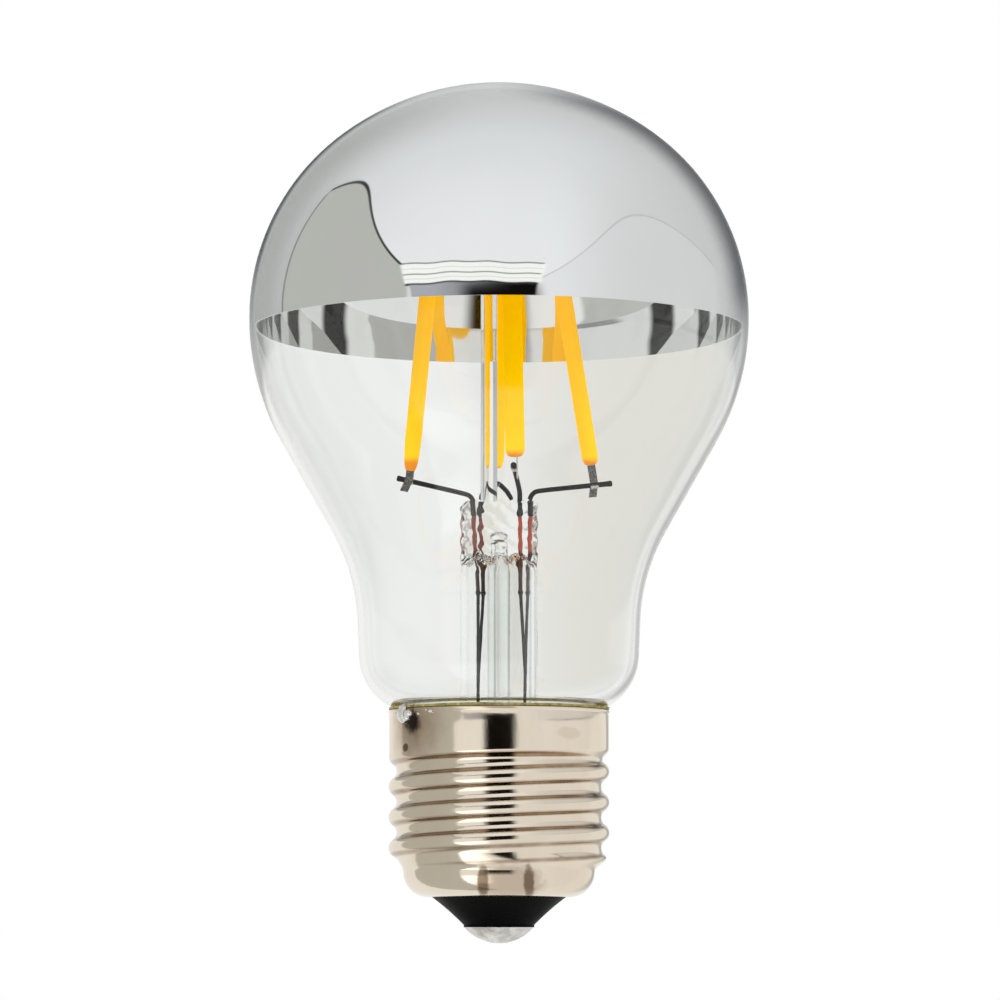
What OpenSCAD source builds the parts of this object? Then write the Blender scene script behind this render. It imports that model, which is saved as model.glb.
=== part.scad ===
// Half-mirror LED filament bulb with a 27 mm screw cap, standing upright, cap down.
// Millimetres. The origin is the lowest point of the centre contact, on the bulb's axis, and +Z runs up.

/* [Glass bulb] */
// Radius of the bulb at its widest circle
bulb_r = 30; // [28:0.1:31.5]
// How much larger the arc of the crown is than the bulb's radius
crown_extra = 1.5; // [0.6:0.1:3]
// How much smaller the arc of the shoulder is than the bulb's radius
shoulder_less = 2.66; // [1.5:0.01:4]
// Angle between the straight flank and the axis
flank_angle = 29.5; // [26:0.5:33]
// Radius of the hollow sweep from the flank into the neck
hollow_r = 23.4; // [20:0.1:27]
// Radius of the neck just above the cap
neck_r = 16.7; // [16:0.1:17.5]
// Height of the tapering neck
neck_len = 4.45; // [3:0.05:7]
// Taper of the neck, from the axis
neck_taper = 2.5; // [1:0.5:4]
// Radius of the bulge that turns the neck in to the cap
bulge_r = 7; // [6:0.1:8]
// Radius of the small hollow between the bulge and the seal neck
fillet_r = 1.6; // [1.2:0.1:2]
// Thickness of the blown wall
glass_wall = 0.7; // [0.5:0.05:0.9]
// Depth of the seal neck's end below the cap's rim
seal_depth = 7; // [5.5:0.1:8]

/* [Mirror] */
// Thickness of the mirror coating
mirror_t = 0.12; // [0.08:0.01:0.3]
// How far the coating runs down past the widest circle
mirror_overrun = 0.7; // [0:0.1:4]

/* [Cap shell] */
// Radius of the plain skirt
skirt_r = 13.1; // [12.9:0.05:13.3]
// Height of the plain skirt
skirt_h = 4.6; // [4:0.1:6]
// Thickness of the rolled sheet
sheet_t = 0.3; // [0.25:0.01:0.35]
// How far the rolled lip stands out from the skirt
lip_out = 0.1; // [0.05:0.01:0.15]
// Height of the rolled lip
lip_h = 0.5; // [0.3:0.1:1]
// How far the thread's root lies inside the skirt
root_in = 0.9; // [0.8:0.02:1]
// How far the thread's crest stands out from the skirt
crest_out = 0.05; // [0.01:0.01:0.12]
// Rise of the thread in one turn
pitch = 3.629; // [3.4:0.001:3.9]
// Height of the threaded band
thread_h = 14.6; // [13:0.1:17]
// How far the shell below the thread lies inside the skirt
base_in = 1.7; // [1.4:0.1:2]
// Radius of the round edge at the shell's base
base_round = 3; // [2.4:0.1:3.4]
// Width of the flat floor between the round edge and the floor's hole
floor_edge = 0.4; // [0.1:0.1:0.8]

/* [Insulator and contact] */
// Height of the insulator's cone below the shell
cone_h = 3.6; // [3:0.1:4.4]
// How hollow the cone's flank is
cone_dish = 0.1; // [0.05:0.05:0.3]
// Height of the insulator inside the shell
plug_h = 2.5; // [1.5:0.1:2.9]
// Radius of the insulator's lower end
nose_r = 4.2; // [3.8:0.1:4.8]
// Height of the straight edge at the insulator's lower end
nose_edge = 0.3; // [0.1:0.1:0.6]
// How far the contact plate stays inside the nose
contact_inset = 0.1; // [0.05:0.05:0.3]
// Height of the domed contact
contact_h = 1.9; // [1.5:0.1:2.3]
// Thickness of the contact plate
contact_t = 0.35; // [0.25:0.05:0.5]
// Radius of the hole for the contact wire
contact_hole_r = 1; // [0.8:0.1:1.4]

/* [Stem] */
// Radius of the flare tube
stem_r = 4.6; // [4.5:0.05:5]
// Wall of the flare tube
stem_wall = 0.65; // [0.5:0.05:0.8]
// Height of the flat press
press_h = 6.8; // [6:0.1:8]
// Thickness of the flat press
press_t = 3.4; // [3.2:0.1:4]
// Height over which the tube is pinched flat
pinch_h = 2.6; // [2:0.1:4]
// Radius of the exhaust tube
exhaust_r = 1.45; // [1.3:0.05:1.5]
// Wall of the exhaust tube
exhaust_wall = 0.5; // [0.4:0.05:0.6]
// How far the exhaust tube's sealed tip hangs below the flare
exhaust_drop = 4.2; // [3:0.1:4.6]
// Radius of the blowhole
blow_r = 0.75; // [0.6:0.05:0.9]
// Depth of the blowhole below the press's top
blow_depth = 4.2; // [4:0.1:4.6]
// Radius of the support rod
rod_r = 1; // [0.9:0.05:1.05]
// Distance of the support rod from the axis, to the left
rod_off = 1.2; // [1:0.05:1.3]
// How deep the support rod is sunk in the press
rod_sink = 2.4; // [2:0.1:2.6]
// Radius of the bead on top of the rod
bead_r = 1.8; // [1.6:0.1:2.2]

/* [Wires] */
// Radius of the bracket wires
bracket_r = 0.29; // [0.24:0.01:0.3]
// Radius of a bracket wire's swollen end and weld knot
knot_r = 0.37; // [0.33:0.01:0.38]
// Radius of the copper-clad seal wires
seal_r = 0.2; // [0.15:0.01:0.22]
// Radius of the lead wires
lead_r = 0.18; // [0.14:0.01:0.19]
// Radius of the weld beads on the lead wires
weld_r = 0.33; // [0.28:0.01:0.35]
// Depth of the weld knots below the press's top
knot_depth = 1.6; // [1.3:0.1:2]
// Length of seal wire below the press
seal_below = 4.2; // [3.5:0.1:5]
// Radius of the bends in the bracket wires
bend_r = 1.3; // [1:0.1:1.5]
// Radius of the mains wires in the cap
mains_r = 0.11; // [0.1:0.01:0.12]

/* [Filaments] */
// Radius of the ring that the filaments' feet stand on
foot_ring_r = 10.8; // [10:0.1:12]
// Radius of the ring that their heads reach
head_ring_r = 6; // [5:0.1:7.5]
// Height of the feet above the press
foot_rise = 2.4; // [2:0.1:3]
// Room between the crown and the head of an upright filament
head_room = 9.15; // [8.5:0.05:11]
// Length of the phosphor coat
coat_l = 33; // [30:0.5:34]
// Radius of the phosphor coat
coat_r = 0.95; // [0.85:0.05:1.1]
// Radius of the coat's blunt tip
coat_tip_r = 0.62; // [0.6:0.01:0.7]
// Length of the coat's tapering end
coat_taper = 1.7; // [1:0.1:2.5]
// Width of the carrier strip
strip_w = 0.95; // [0.75:0.05:0.95]
// Thickness of the carrier strip
strip_t = 0.3; // [0.2:0.05:0.3]
// Number of chips on a strip
chips = 28; // [20:1:32]
// Height of a chip on its strip
chip_h = 0.12; // [0.08:0.01:0.12]
// Length of a chip, along the strip
chip_l = 0.6; // [0.4:0.05:0.8]
// Width of a chip, across the strip
chip_w = 0.3; // [0.2:0.05:0.4]
// Thickness of a tab's sheet
tab_t = 0.12; // [0.08:0.01:0.12]
// Length of bare tab between the wire and the coat
tab_bare = 2.5; // [2.3:0.1:3]
// Length of a tab's tail past the wire
tab_tail = 1.4; // [1:0.1:1.8]

/* [Cement and solder] */
// How far the cement rises above the cap's rim
cement_rise = 0.35; // [0.2:0.05:0.45]
// Depth of the cement below the cap's rim
cement_depth = 4; // [3:0.1:4.4]
// Direction of the side solder, from +X
solder_angle = 211; // [200:1:220]
// Half the width of the side solder
solder_r = 0.8; // [0.7:0.05:0.9]
// Height of the side solder
solder_h = 2.3; // [2:0.1:2.6]

/* [Driver] */
// Room for the driver board's corners between its edge and the thread
board_side = 3.4; // [3:0.1:4]
// Height of the driver board
board_h = 9.6; // [9:0.1:10]
// Thickness of the driver board
board_t = 1; // [0.8:0.1:1.2]
// Radius of the smoothing capacitor
cap_can_r = 3.1; // [2.8:0.1:3.3]
// Length of the smoothing capacitor
cap_can_l = 9; // [8:0.5:10]
// Radius of the fuse resistor's body
fuse_r = 1.1; // [0.9:0.1:1.3]
// Length of the fuse resistor's body
fuse_l = 6; // [5:0.5:7]

/* [Hidden] */

// Facets of a round surface, and the step of a drawn arc in degrees
$fn = 96;
arc_step = 4;
// Clearance between a piece and its seat
fit = 0.02;
// Gap between the bulge and the skirt's inner edge
rim_gap = 0.35;
// Gap between the seal neck and the thread's root, where the shell wire runs
wire_gap = 0.55;
// Room round a bracket wire and its knot in the press
wire_room = 0.06;
// Gap of the pieces in the cap to what they lie next to
cap_gap = 0.3;

// Order of the four filaments: left, front, right, back
LEFT = 0;
FRONT = 1;
RIGHT = 2;
BACK = 3;

// Radii of the shell
root_r = skirt_r - root_in;
crest_r = skirt_r + crest_out;
base_r = skirt_r - base_in;
floor_hole_r = base_r - base_round - floor_edge;

// Heights of the cap, from the contact up
floor_z = contact_h + cone_h;
thread_z = floor_z + base_round;
skirt_z = thread_z + thread_h;
rim_z = skirt_z + skirt_h;
plug_z = floor_z + plug_h;

// Arcs of the glass outline, each given as its centre
bulge_c = [neck_r - bulge_r * cos(neck_taper),
    rim_z + sqrt(pow(bulge_r + rim_gap, 2) - pow(skirt_r - sheet_t - neck_r + bulge_r * cos(neck_taper), 2))];
neck_top = bulge_c + bulge_r * polar(-neck_taper) + neck_len * [tan(neck_taper), 1];
hollow_c = neck_top + hollow_r * polar(-neck_taper);
hollow_top = hollow_c - hollow_r * polar(-flank_angle);
flank_len = (bulb_r * cos(flank_angle) - hollow_top[0]) / sin(flank_angle);
ball_c = [0, hollow_top[1] + flank_len * cos(flank_angle) + bulb_r * sin(flank_angle)];
shoulder_r = bulb_r - shoulder_less;
shoulder_c = ball_c + [shoulder_less, 0];
crown_r = bulb_r + crown_extra;
crown_c = ball_c - [0, sqrt(pow(crown_r - shoulder_r, 2) - pow(shoulder_less, 2))];
crown_join = atan2(shoulder_c[1] - crown_c[1], shoulder_c[0]);
seal_neck_r = root_r - sheet_t - wire_gap;
fillet_c = [seal_neck_r + fillet_r,
    bulge_c[1] - sqrt(pow(bulge_r + fillet_r, 2) - pow(seal_neck_r + fillet_r - bulge_c[0], 2))];
fillet_join = atan2(fillet_c[1] - bulge_c[1], fillet_c[0] - bulge_c[0]);
seal_z = rim_z - seal_depth;
mirror_z = ball_c[1] - mirror_overrun;

// Filament from wire to wire, and the stem below it, from the flare's rim up
filament_l = coat_l + 2 * tab_bare;
press_z = crown_c[1] + crown_r - glass_wall - head_room - filament_l - foot_rise;
flare_arc = seal_neck_r - glass_wall - stem_r;
flare_z = seal_z - stem_wall;
tube_z = flare_z + stem_wall + flare_arc;
stem_ri = stem_r - stem_wall;
pinch_z = press_z - press_h;
slit_z = pinch_z - stem_wall;
blow_z = press_z - blow_depth;
blow_neck = 2 / 3 * blow_r;
exhaust_top_z = blow_z - blow_neck;
exhaust_tip_z = flare_z - exhaust_drop;
rod_z = press_z - rod_sink;
knot_z = press_z - knot_depth;
weld_z = pinch_z - seal_below;
// Lengths of a weld knot and of half a weld bead
knot_len = 1.5 * knot_r;
weld_half = 0.7 * weld_r;

// Places of the four seal wires, at the weld knots in the press and at the beads below it
seal_top = [[-(stem_ri - 1), 0], [stem_ri - 1.5, -0.55], [stem_ri - 0.35, 0], [-(stem_ri - 1.85), 1.1]];
seal_low = [[-(stem_ri - 1.45), 0], [stem_ri - 1.4, -0.5], [stem_ri - 0.48, 0], [-(stem_ri - 2.05), 0.9]];

// The four filaments as the wires were bent by hand: azimuth, and what is added to the ring's radius at
// the foot, to the foot's height, and to the ring's radius at the head
azimuth = [180.6, -80, 0, 92.2];
foot_out = [-0.05, -0.6, 0.65, -1.9];
foot_up = [0.05, 0.75, -0.45, 0.55];
head_out = [1.1, -0.2, -0.6, -0.2];
foot = [for (i = [0:3])
    concat((foot_ring_r + foot_out[i]) * polar(azimuth[i]), press_z + foot_rise + foot_up[i])];
head = [for (i = [0:3]) let (r = head_ring_r + head_out[i], run = foot_ring_r + foot_out[i] - r)
    concat(r * polar(azimuth[i]), foot[i][2] + sqrt(pow(filament_l, 2) - pow(run, 2)))];
// Height of a bracket wire's bend above the press, and how far its end runs past the foot
corner_up = [0.7, 1, 1.2, 0.9];
corner_out = 1.03;
corner = [for (i = [0:3]) concat(seal_top[i] * corner_out, press_z + corner_up[i])];
wire_tail = [1.5, 1, 2.1, 1];
// The back wire's end droops past its foot
back_droop = [[1.3, 1.1, -0.8], [1.95, 1.4, -1.8]];

// Rod's bead, with the two top wires through it, one above the other
top_apart = bead_r / 3;
bead_z = (head[LEFT][2] + head[RIGHT][2]) / 2 + top_apart;
top_level = [bead_z - top_apart, bead_z + top_apart];
rod_axis = [-rod_off, 0];

// Places across a filament, from the wire it hooks on: the tab's inner face and the strip's middle
tab_v = bracket_r + fit;
strip_v = tab_v - strip_t / 2;
tab_lap = 0.6;
strip_end = 0.05;
// How far each lower tab's tail slants back along its wire
tail_back = [-0.35, 0.1, 0.35, 0.1];

// Driver: the can's legs stand off the board, and the fuse hangs below the board's top edge
board_w = 2 * (root_r - sheet_t - board_side);
board_y = exhaust_r + cap_gap;
leg_room = 1.2;
can_z = plug_z + fit + cap_can_r + cap_gap;
can_y = board_y - leg_room - cap_can_r;
fuse_z = plug_z + board_h - fuse_r - cap_gap;

// Unit vector in the plane at an angle, and along a vector
function polar(a) = [cos(a), sin(a)];
function unit(v) = v / norm(v);
function up(v, z) = [v[0], v[1], z];
// Eased step from 0 to 1 while x runs from a to b
function ease(x, a, b) = let (t = max(0, min(1, (x - a) / (b - a)))) t * t * (3 - 2 * t);
function mix(a, b, t) = a * (1 - t) + b * t;

// Points of an arc from angle a to angle b, both ends included
function arc(c, r, a, b) = let (n = max(2, ceil(abs(b - a) / arc_step)))
    [for (i = [0:n]) c + r * polar(a + (b - a) * i / n)];

// Outline of the blown glass, d inside its outer face, from the crown down to the seal neck's end.
// Arcs that bulge out lose d, and hollow ones gain it, so that the wall is even.
function glass_line(d) = concat(
    arc(crown_c, crown_r - d, 90, crown_join),
    arc(shoulder_c, shoulder_r - d, crown_join, 0),
    arc(ball_c, bulb_r - d, 0, -flank_angle),
    arc(hollow_c, hollow_r + d, 180 - flank_angle, 180 - neck_taper),
    arc(bulge_c, bulge_r - d, -neck_taper, fillet_join),
    arc(fillet_c, fillet_r + d, 180 + fillet_join, 180),
    [[seal_neck_r - d, seal_z]]);

// Solid of revolution inside the glass outline
module glass_region(d, below = 0) {
    polygon(concat([[0, seal_z - below]], glass_line(d), [[seal_neck_r - d, seal_z - below]]));
}

// Right-handed frame with its origin at p, X along x and Y along y
module placed(p, x, y) {
    z = cross(x, y);
    multmatrix([[x[0], y[0], z[0], p[0]], [x[1], y[1], z[1], p[1]], [x[2], y[2], z[2], p[2]], [0, 0, 0, 1]])
        children();
}

// Some direction square to d
function square_to(d) = unit(abs(d[2]) < 0.9 ? cross(d, [0, 0, 1]) : cross(d, [1, 0, 0]));

// Straight round bar from a to b
module bar(a, b, r) {
    d = unit(b - a);
    x = square_to(d);
    placed(a, x, cross(d, x)) cylinder(r = r, h = norm(b - a), $fn = 24);
}

// Path with each corner turned into an arc. A point is [x, y, z, radius of the wire].
function xyz(p) = [p[0], p[1], p[2]];
// The bend takes up to a share of the shorter leg beside it.
function bent(pts, bend, k = 4, share = 0.45) = [for (i = [0:len(pts) - 1])
    each i == 0 || i == len(pts) - 1 ? [pts[i]] : corner_arc(pts[i - 1], pts[i], pts[i + 1], bend, k, share)];
function corner_arc(a, p, b, bend, k, share) = let (
    u = unit(xyz(p) - xyz(a)), v = unit(xyz(b) - xyz(p)), turn = acos(min(1, u * v)))
    turn < 3 ? [p] : let (
    reach = min(bend * tan(turn / 2), share * norm(xyz(p) - xyz(a)), share * norm(xyz(b) - xyz(p))),
    r = reach / tan(turn / 2),
    n = unit(v - u * (u * v)),
    c = xyz(p) - u * reach + n * r)
    [for (i = [0:k]) concat(c + r * (sin(turn * i / k) * u - cos(turn * i / k) * n), p[3])];

// Round wire swept along a path, its rings carried along without twist
wire_sides = 8;
function ring(p, x, y) = [for (k = [0:wire_sides - 1])
    xyz(p) + p[3] * (x * cos(360 * k / wire_sides) + y * sin(360 * k / wire_sides))];
function heading(path, i) = unit(
    (i == len(path) - 1 ? [0, 0, 0] : unit(xyz(path[i + 1]) - xyz(path[i])))
    + (i == 0 ? [0, 0, 0] : unit(xyz(path[i]) - xyz(path[i - 1]))));
function carried(path, i, x) = let (d = heading(path, i)) unit(x - d * (d * x));
function sides(path, i, x) = i == len(path) ? [] :
    let (c = carried(path, i, x)) concat([c], sides(path, i + 1, c));
module wire(path) {
    n = wire_sides;
    m = len(path);
    across = sides(path, 0, square_to(heading(path, 0)));
    points = [for (i = [0:m - 1]) each ring(path[i], across[i], cross(heading(path, i), across[i]))];
    faces = concat(
        [[for (k = [n - 1:-1:0]) k]],
        [for (i = [0:m - 2], k = [0:n - 1]) let (j = (k + 1) % n)
            each [[i * n + k, i * n + j, (i + 1) * n + j], [i * n + k, (i + 1) * n + j, (i + 1) * n + k]]],
        [[for (k = [0:n - 1]) (m - 1) * n + k]]);
    polyhedron(points, [for (f = faces) [for (k = [len(f) - 1:-1:0]) f[k]]]);
}

// Glass bulb: one blown shell, open at its narrow seal neck
module glass_bulb() color([0.93, 0.95, 0.96, 0.35])
    rotate_extrude() difference() {
        glass_region(0);
        glass_region(glass_wall, below = 1);
    }

// Mirror coating: thin skin on the glass, from the crown to just below the widest circle
module mirror_coating() color("silver")
    rotate_extrude() intersection() {
        difference() {
            glass_region(glass_wall + fit);
            glass_region(glass_wall + fit + mirror_t, below = 1);
        }
        translate([0, mirror_z]) square([bulb_r, 2 * bulb_r]);
    }

// Round tube that is pinched flat in Y between two heights
module pinched(r, half, z0, z1, bottom, top) intersection() {
    translate([0, 0, bottom]) cylinder(r = r, h = top - bottom);
    rotate([90, 0, 90]) translate([0, 0, -2 * r]) linear_extrude(4 * r) polygon(concat(
        [[-2 * r, bottom - 1], [2 * r, bottom - 1], [2 * r, z0 - 1], [r, z0]],
        [[half, z1], [half, top + 1], [-half, top + 1], [-half, z1]],
        [[-r, z0], [-2 * r, z0 - 1]]));
}

// Flare: the foot of the tube opens in an arc to the rim that is sealed to the neck
module flare() rotate_extrude() polygon(concat(
    arc([stem_r + flare_arc, flare_z + stem_wall + flare_arc], flare_arc, 180, 270),
    [[seal_neck_r, seal_z], [seal_neck_r, flare_z]],
    arc([stem_r + flare_arc, flare_z + stem_wall + flare_arc], flare_arc + stem_wall, 270, 180)));

// Stem: flare, tube and press in one piece of glass, with channels for what is sealed in it
module stem_flare() color([0.9, 0.93, 0.93, 0.5]) difference() {
    union() {
        flare();
        pinched(stem_r, press_t / 2, pinch_z - pinch_h, pinch_z, tube_z - fit, press_z);
    }
    pinched(stem_ri, press_t / 2 - stem_wall, pinch_z - pinch_h, slit_z, tube_z - 1, pinch_z);
    translate([0, 0, tube_z]) cylinder(r = exhaust_r + fit, h = exhaust_top_z - tube_z);
    translate([0, blow_neck - press_t / 2, blow_z]) sphere(blow_r);
    translate([0, 0, exhaust_top_z - fit]) cylinder(r = exhaust_r - exhaust_wall, h = blow_neck + fit);
    translate(up(rod_axis, rod_z)) cylinder(r = rod_r + fit, h = rod_sink + 1);
    for (i = [0:3]) {
        bar(up(seal_low[i], weld_z), seal_point(i, knot_z), seal_r + fit);
        translate(seal_point(i, knot_z)) sphere(knot_r + wire_room, $fn = 48);
        bar(seal_point(i, knot_z), up(corner[i], press_z + 1), bracket_r + wire_room);
    }
}

// Point of seal wire i at height z
function seal_point(i, z) =
    mix(up(seal_low[i], weld_z), up(seal_top[i], knot_z), (z - weld_z) / (knot_z - weld_z));

// Exhaust tube: open at the blowhole, melted shut at its tip in the cap
module exhaust_tube() color([0.9, 0.93, 0.93, 0.5])
    rotate_extrude() difference() {
        union() {
            translate([0, exhaust_tip_z + exhaust_r])
                square([exhaust_r, exhaust_top_z - exhaust_tip_z - exhaust_r]);
            intersection() {
                translate([0, exhaust_tip_z + exhaust_r]) circle(exhaust_r);
                translate([0, exhaust_tip_z]) square([exhaust_r, exhaust_r]);
            }
        }
        translate([0, exhaust_tip_z + exhaust_r]) square([exhaust_r - exhaust_wall, exhaust_top_z]);
    }

// Support rod, with the bead that holds the top wires
module support_rod() color([0.9, 0.93, 0.93, 0.5]) difference() {
    translate(rod_axis) rotate_extrude() union() {
        translate([0, rod_z + fit]) square([rod_r, bead_z - rod_z - fit]);
        translate([0, bead_z]) intersection() {
            circle(bead_r);
            translate([0, -bead_r]) square([bead_r, 2 * bead_r]);
        }
    }
    translate([-rod_off - 2 * bead_r, 0, top_level[0]]) rotate([0, 90, 0])
        cylinder(r = bracket_r + fit, h = 4 * bead_r, $fn = 48);
    translate([-rod_off, 2 * bead_r, top_level[1]]) rotate([90, 0, 0])
        cylinder(r = bracket_r + fit, h = 4 * bead_r, $fn = 48);
}

// Direction of bracket wire i where the filament hooks on it
function bracket_dir(i) = unit(foot[i] - corner[i]);

// Bracket wire: weld knot in the press, a bend above it, and a swollen end past the filament's foot. The
// back wire has no swollen end, and droops.
module bracket_wire(i) color("dimgray") {
    b = bracket_dir(i);
    end = foot[i] + b * wire_tail[i];
    end_len = 1.3 * knot_r;
    knot = [for (k = [[-1 / 2, seal_r], [-1 / 4, knot_r], [1 / 6, knot_r], [1, bracket_r]])
        concat(seal_point(i, knot_z + k[0] * knot_len), k[1])];
    swollen = [for (k = [[1, bracket_r], [0.6, knot_r], [0.15, knot_r], [0, 0.6 * knot_r]])
        concat(end - b * k[0] * end_len, k[1])];
    droop = [for (d = back_droop) concat(foot[i] + d, bracket_r)];
    bends = i == BACK ? concat([concat(end, bracket_r)], droop) : [swollen[0]];
    wire(concat([for (k = [0:2]) knot[k]],
        bent(concat([knot[3], concat(corner[i], bracket_r)], bends), bend_r, share = i == BACK ? 0.45 : 0.9),
        i == BACK ? [] : [for (k = [1:3]) swollen[k]]));
}

// Seal wire: straight copper-clad pin through the press, from the weld knot to the weld bead
module seal_wire(i) color("firebrick")
    bar(seal_point(i, weld_z + weld_half), seal_point(i, knot_z - knot_len / 2 - fit), seal_r);

// Lead wires below the beads: each pair meets at its own height, the right pair a little nearer the axis.
// The left and right wires run on to the driver board, and the other two end beside them.
pair_z = mix(seal_z, weld_z, 0.48);
pair_up = [0.4, 1.6];
pair_lean = [0, 0.38];
pair_stub = 1;
lead_apart = 2 * lead_r + fit;
pad_z = plug_z + board_h - 2 * pair_stub + pair_up[0];
pad_in = [3.5, 2.9];
mouth_z = mix(flare_z, tube_z, 0.7);
function meet(i, y, dz) = let (s = i == LEFT || i == BACK ? 0 : 1)
    [seal_low[s == 0 ? LEFT : RIGHT][0] - pair_lean[s], y, pair_z + pair_up[s] + dz];
function pad(i, dz) =
    [i == LEFT ? pad_in[0] - board_w / 2 : board_w / 2 - pad_in[1], board_y - lead_r - fit, pad_z + dz];
function lead_path(i) =
    i == LEFT || i == RIGHT ? [meet(i, 0, 0), up(meet(i, 0, 0), mouth_z), pad(i, 2 * pair_stub), pad(i, 0)] :
    let (y = i == FRONT ? -lead_apart : lead_apart) [meet(i, y, 0), meet(i, y, -pair_stub)];
module lead_wire(i) color("silver") {
    from = up(seal_low[i], weld_z);
    down = unit(lead_path(i)[0] - from);
    wire(concat(
        [concat(from + [0, 0, weld_half - fit], seal_r), concat(from + [0, 0, weld_half / 2], weld_r),
            concat(from + down * weld_half / 2, weld_r), concat(from + down * 1.5 * weld_half, lead_r)],
        bent([for (p = concat([from + down * 3 * weld_half], lead_path(i))) concat(p, lead_r)], bend_r)));
}

// Frame of a filament: origin at its foot, X across in the plane of wire and filament, Y square to that
// plane, Z along the filament
function along_filament(i) = unit(head[i] - foot[i]);
function side_of(i) = unit(cross(along_filament(i), bracket_dir(i)));
module in_filament(i) {
    v = side_of(i);
    placed(foot[i], cross(v, along_filament(i)), v) children();
}

// Phosphor coat: a round stick with tapering ends, moulded on the chip strip
module coat(i) color("gold") in_filament(i) difference() {
    translate([0, strip_v, tab_bare]) rotate_extrude() {
        d = coat_r - coat_tip_r;
        r = (d * d + coat_taper * coat_taper) / (2 * d);
        translate([0, coat_taper]) square([coat_r, coat_l - 2 * coat_taper]);
        for (end = [[coat_taper, 0], [coat_l - coat_taper, coat_l - coat_taper]]) intersection() {
            translate([coat_r - r, end[0]]) circle(r, $fn = 240);
            translate([0, end[1]]) square([coat_r, coat_taper]);
        }
    }
    translate([-strip_w / 2 - fit, tab_v - strip_t - chip_h - fit, 0])
        cube([strip_w + 2 * fit, strip_t + chip_h + 2 * fit, filament_l]);
    for (z = [0, filament_l - tab_bare - tab_lap - fit])
        translate([-strip_w / 2 - fit, tab_v, z])
            cube([strip_w + 2 * fit, tab_t + fit, tab_bare + tab_lap + fit]);
}

// Chip strip: ceramic carrier with its row of chips
module chip_strip(i) color("white") in_filament(i) {
    l = coat_l + 2 * strip_end;
    room = coat_l - 2 * tab_lap - 2 * chip_l;
    translate([-strip_w / 2, tab_v - strip_t, tab_bare - strip_end]) cube([strip_w, strip_t, l]);
    first = tab_bare + tab_lap + chip_l / 2;
    for (k = [0:chips - 1])
        translate([-chip_w / 2, tab_v - strip_t - chip_h, first + room * k / (chips - 1)])
            cube([chip_w, chip_h + strip_t / 2, chip_l]);
}

// Tab: a strip that laps on the carrier, runs past the wire, and folds round it, with a slanted tail.
// It is drawn in the frame of the wire it hooks on: X along the wire, Y to the filament, Z out of its face.
module tab(lean, tail_x) {
    w = strip_w / 2;
    translate([0, 0, tab_v]) linear_extrude(tab_t) union() {
        rotate(lean) translate([-w, 0]) square([strip_w, tab_bare + tab_lap]);
        polygon([[-w, bracket_r], [w, bracket_r], [w + tail_x, -tab_tail], [tail_x - w, -tab_tail]]);
    }
    translate([-w, 0, 0]) rotate([90, 0, 90]) linear_extrude(strip_w) polygon(concat(
        [for (p = arc([0, 0], tab_v + tab_t, 0, -180)) [p[1], p[0]]],
        [for (p = arc([0, 0], tab_v, -180, 0)) [p[1], p[0]]]));
}

// Angle by which filament i leans along its bracket wire
function lean_of(i) = 90 - acos(along_filament(i) * bracket_dir(i));
module lower_tab(i) color("silver") let (b = bracket_dir(i))
    placed(foot[i], -b, cross(b, side_of(i))) tab(lean_of(i), tail_back[i]);

// Direction of the top wire at head i: square to the filament, in the plane of its bracket wire
function top_dir(i) = cross(side_of(i), along_filament(i));
module upper_tab(i) color("silver") placed(head[i], top_dir(i), -along_filament(i)) tab(0, 0);

// Top wire: through the rod's bead, from one filament's head to another's. A knee lies just outside the
// bead, towards head i.
head_run = [0.8, -1.2];
function top_knee(i) = let (a = i == LEFT || i == RIGHT ? [i == LEFT ? -1 : 1, 0] : [0, i == FRONT ? -1 : 1])
    up(rod_axis + (bead_r + bend_r / 3) * a, top_level[i == LEFT || i == RIGHT ? 0 : 1]);
function at_head(i, k) = head[i] + top_dir(i) * head_run[k];
module top_wire(a, b) color("dimgray") {
    path = [at_head(a, 0), at_head(a, 1), top_knee(a), top_knee(b), at_head(b, 1), at_head(b, 0)];
    wire(bent([for (p = path) concat(p, bracket_r)], bend_r / 2));
}

// Radius of the thread's outer face at height z and azimuth a, or of its inner one with d as the sheet.
// The wave fades in over the base and out into the skirt.
thread_sides = 40;
thread_rows = 50;
tuck = 0.25;
fade_in = 2;
fade_out = 1.6;
function wave(z, a) = let (turn = (z - skirt_z + pitch / 4) / pitch - (a - 180) / 360)
    (1 + cos(360 * turn)) / 2;
function thread_r(z, a, d) = let (
    low = mix(base_r, root_r, ease(z, thread_z, thread_z + fade_in)),
    high = mix(base_r, crest_r, ease(z, thread_z, thread_z + fade_in)),
    r = mix(low, high, pow(wave(z, a), 0.8)),
    end = ease(z, skirt_z - fade_out, skirt_z))
    mix(r, skirt_r, end) - d;

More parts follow.
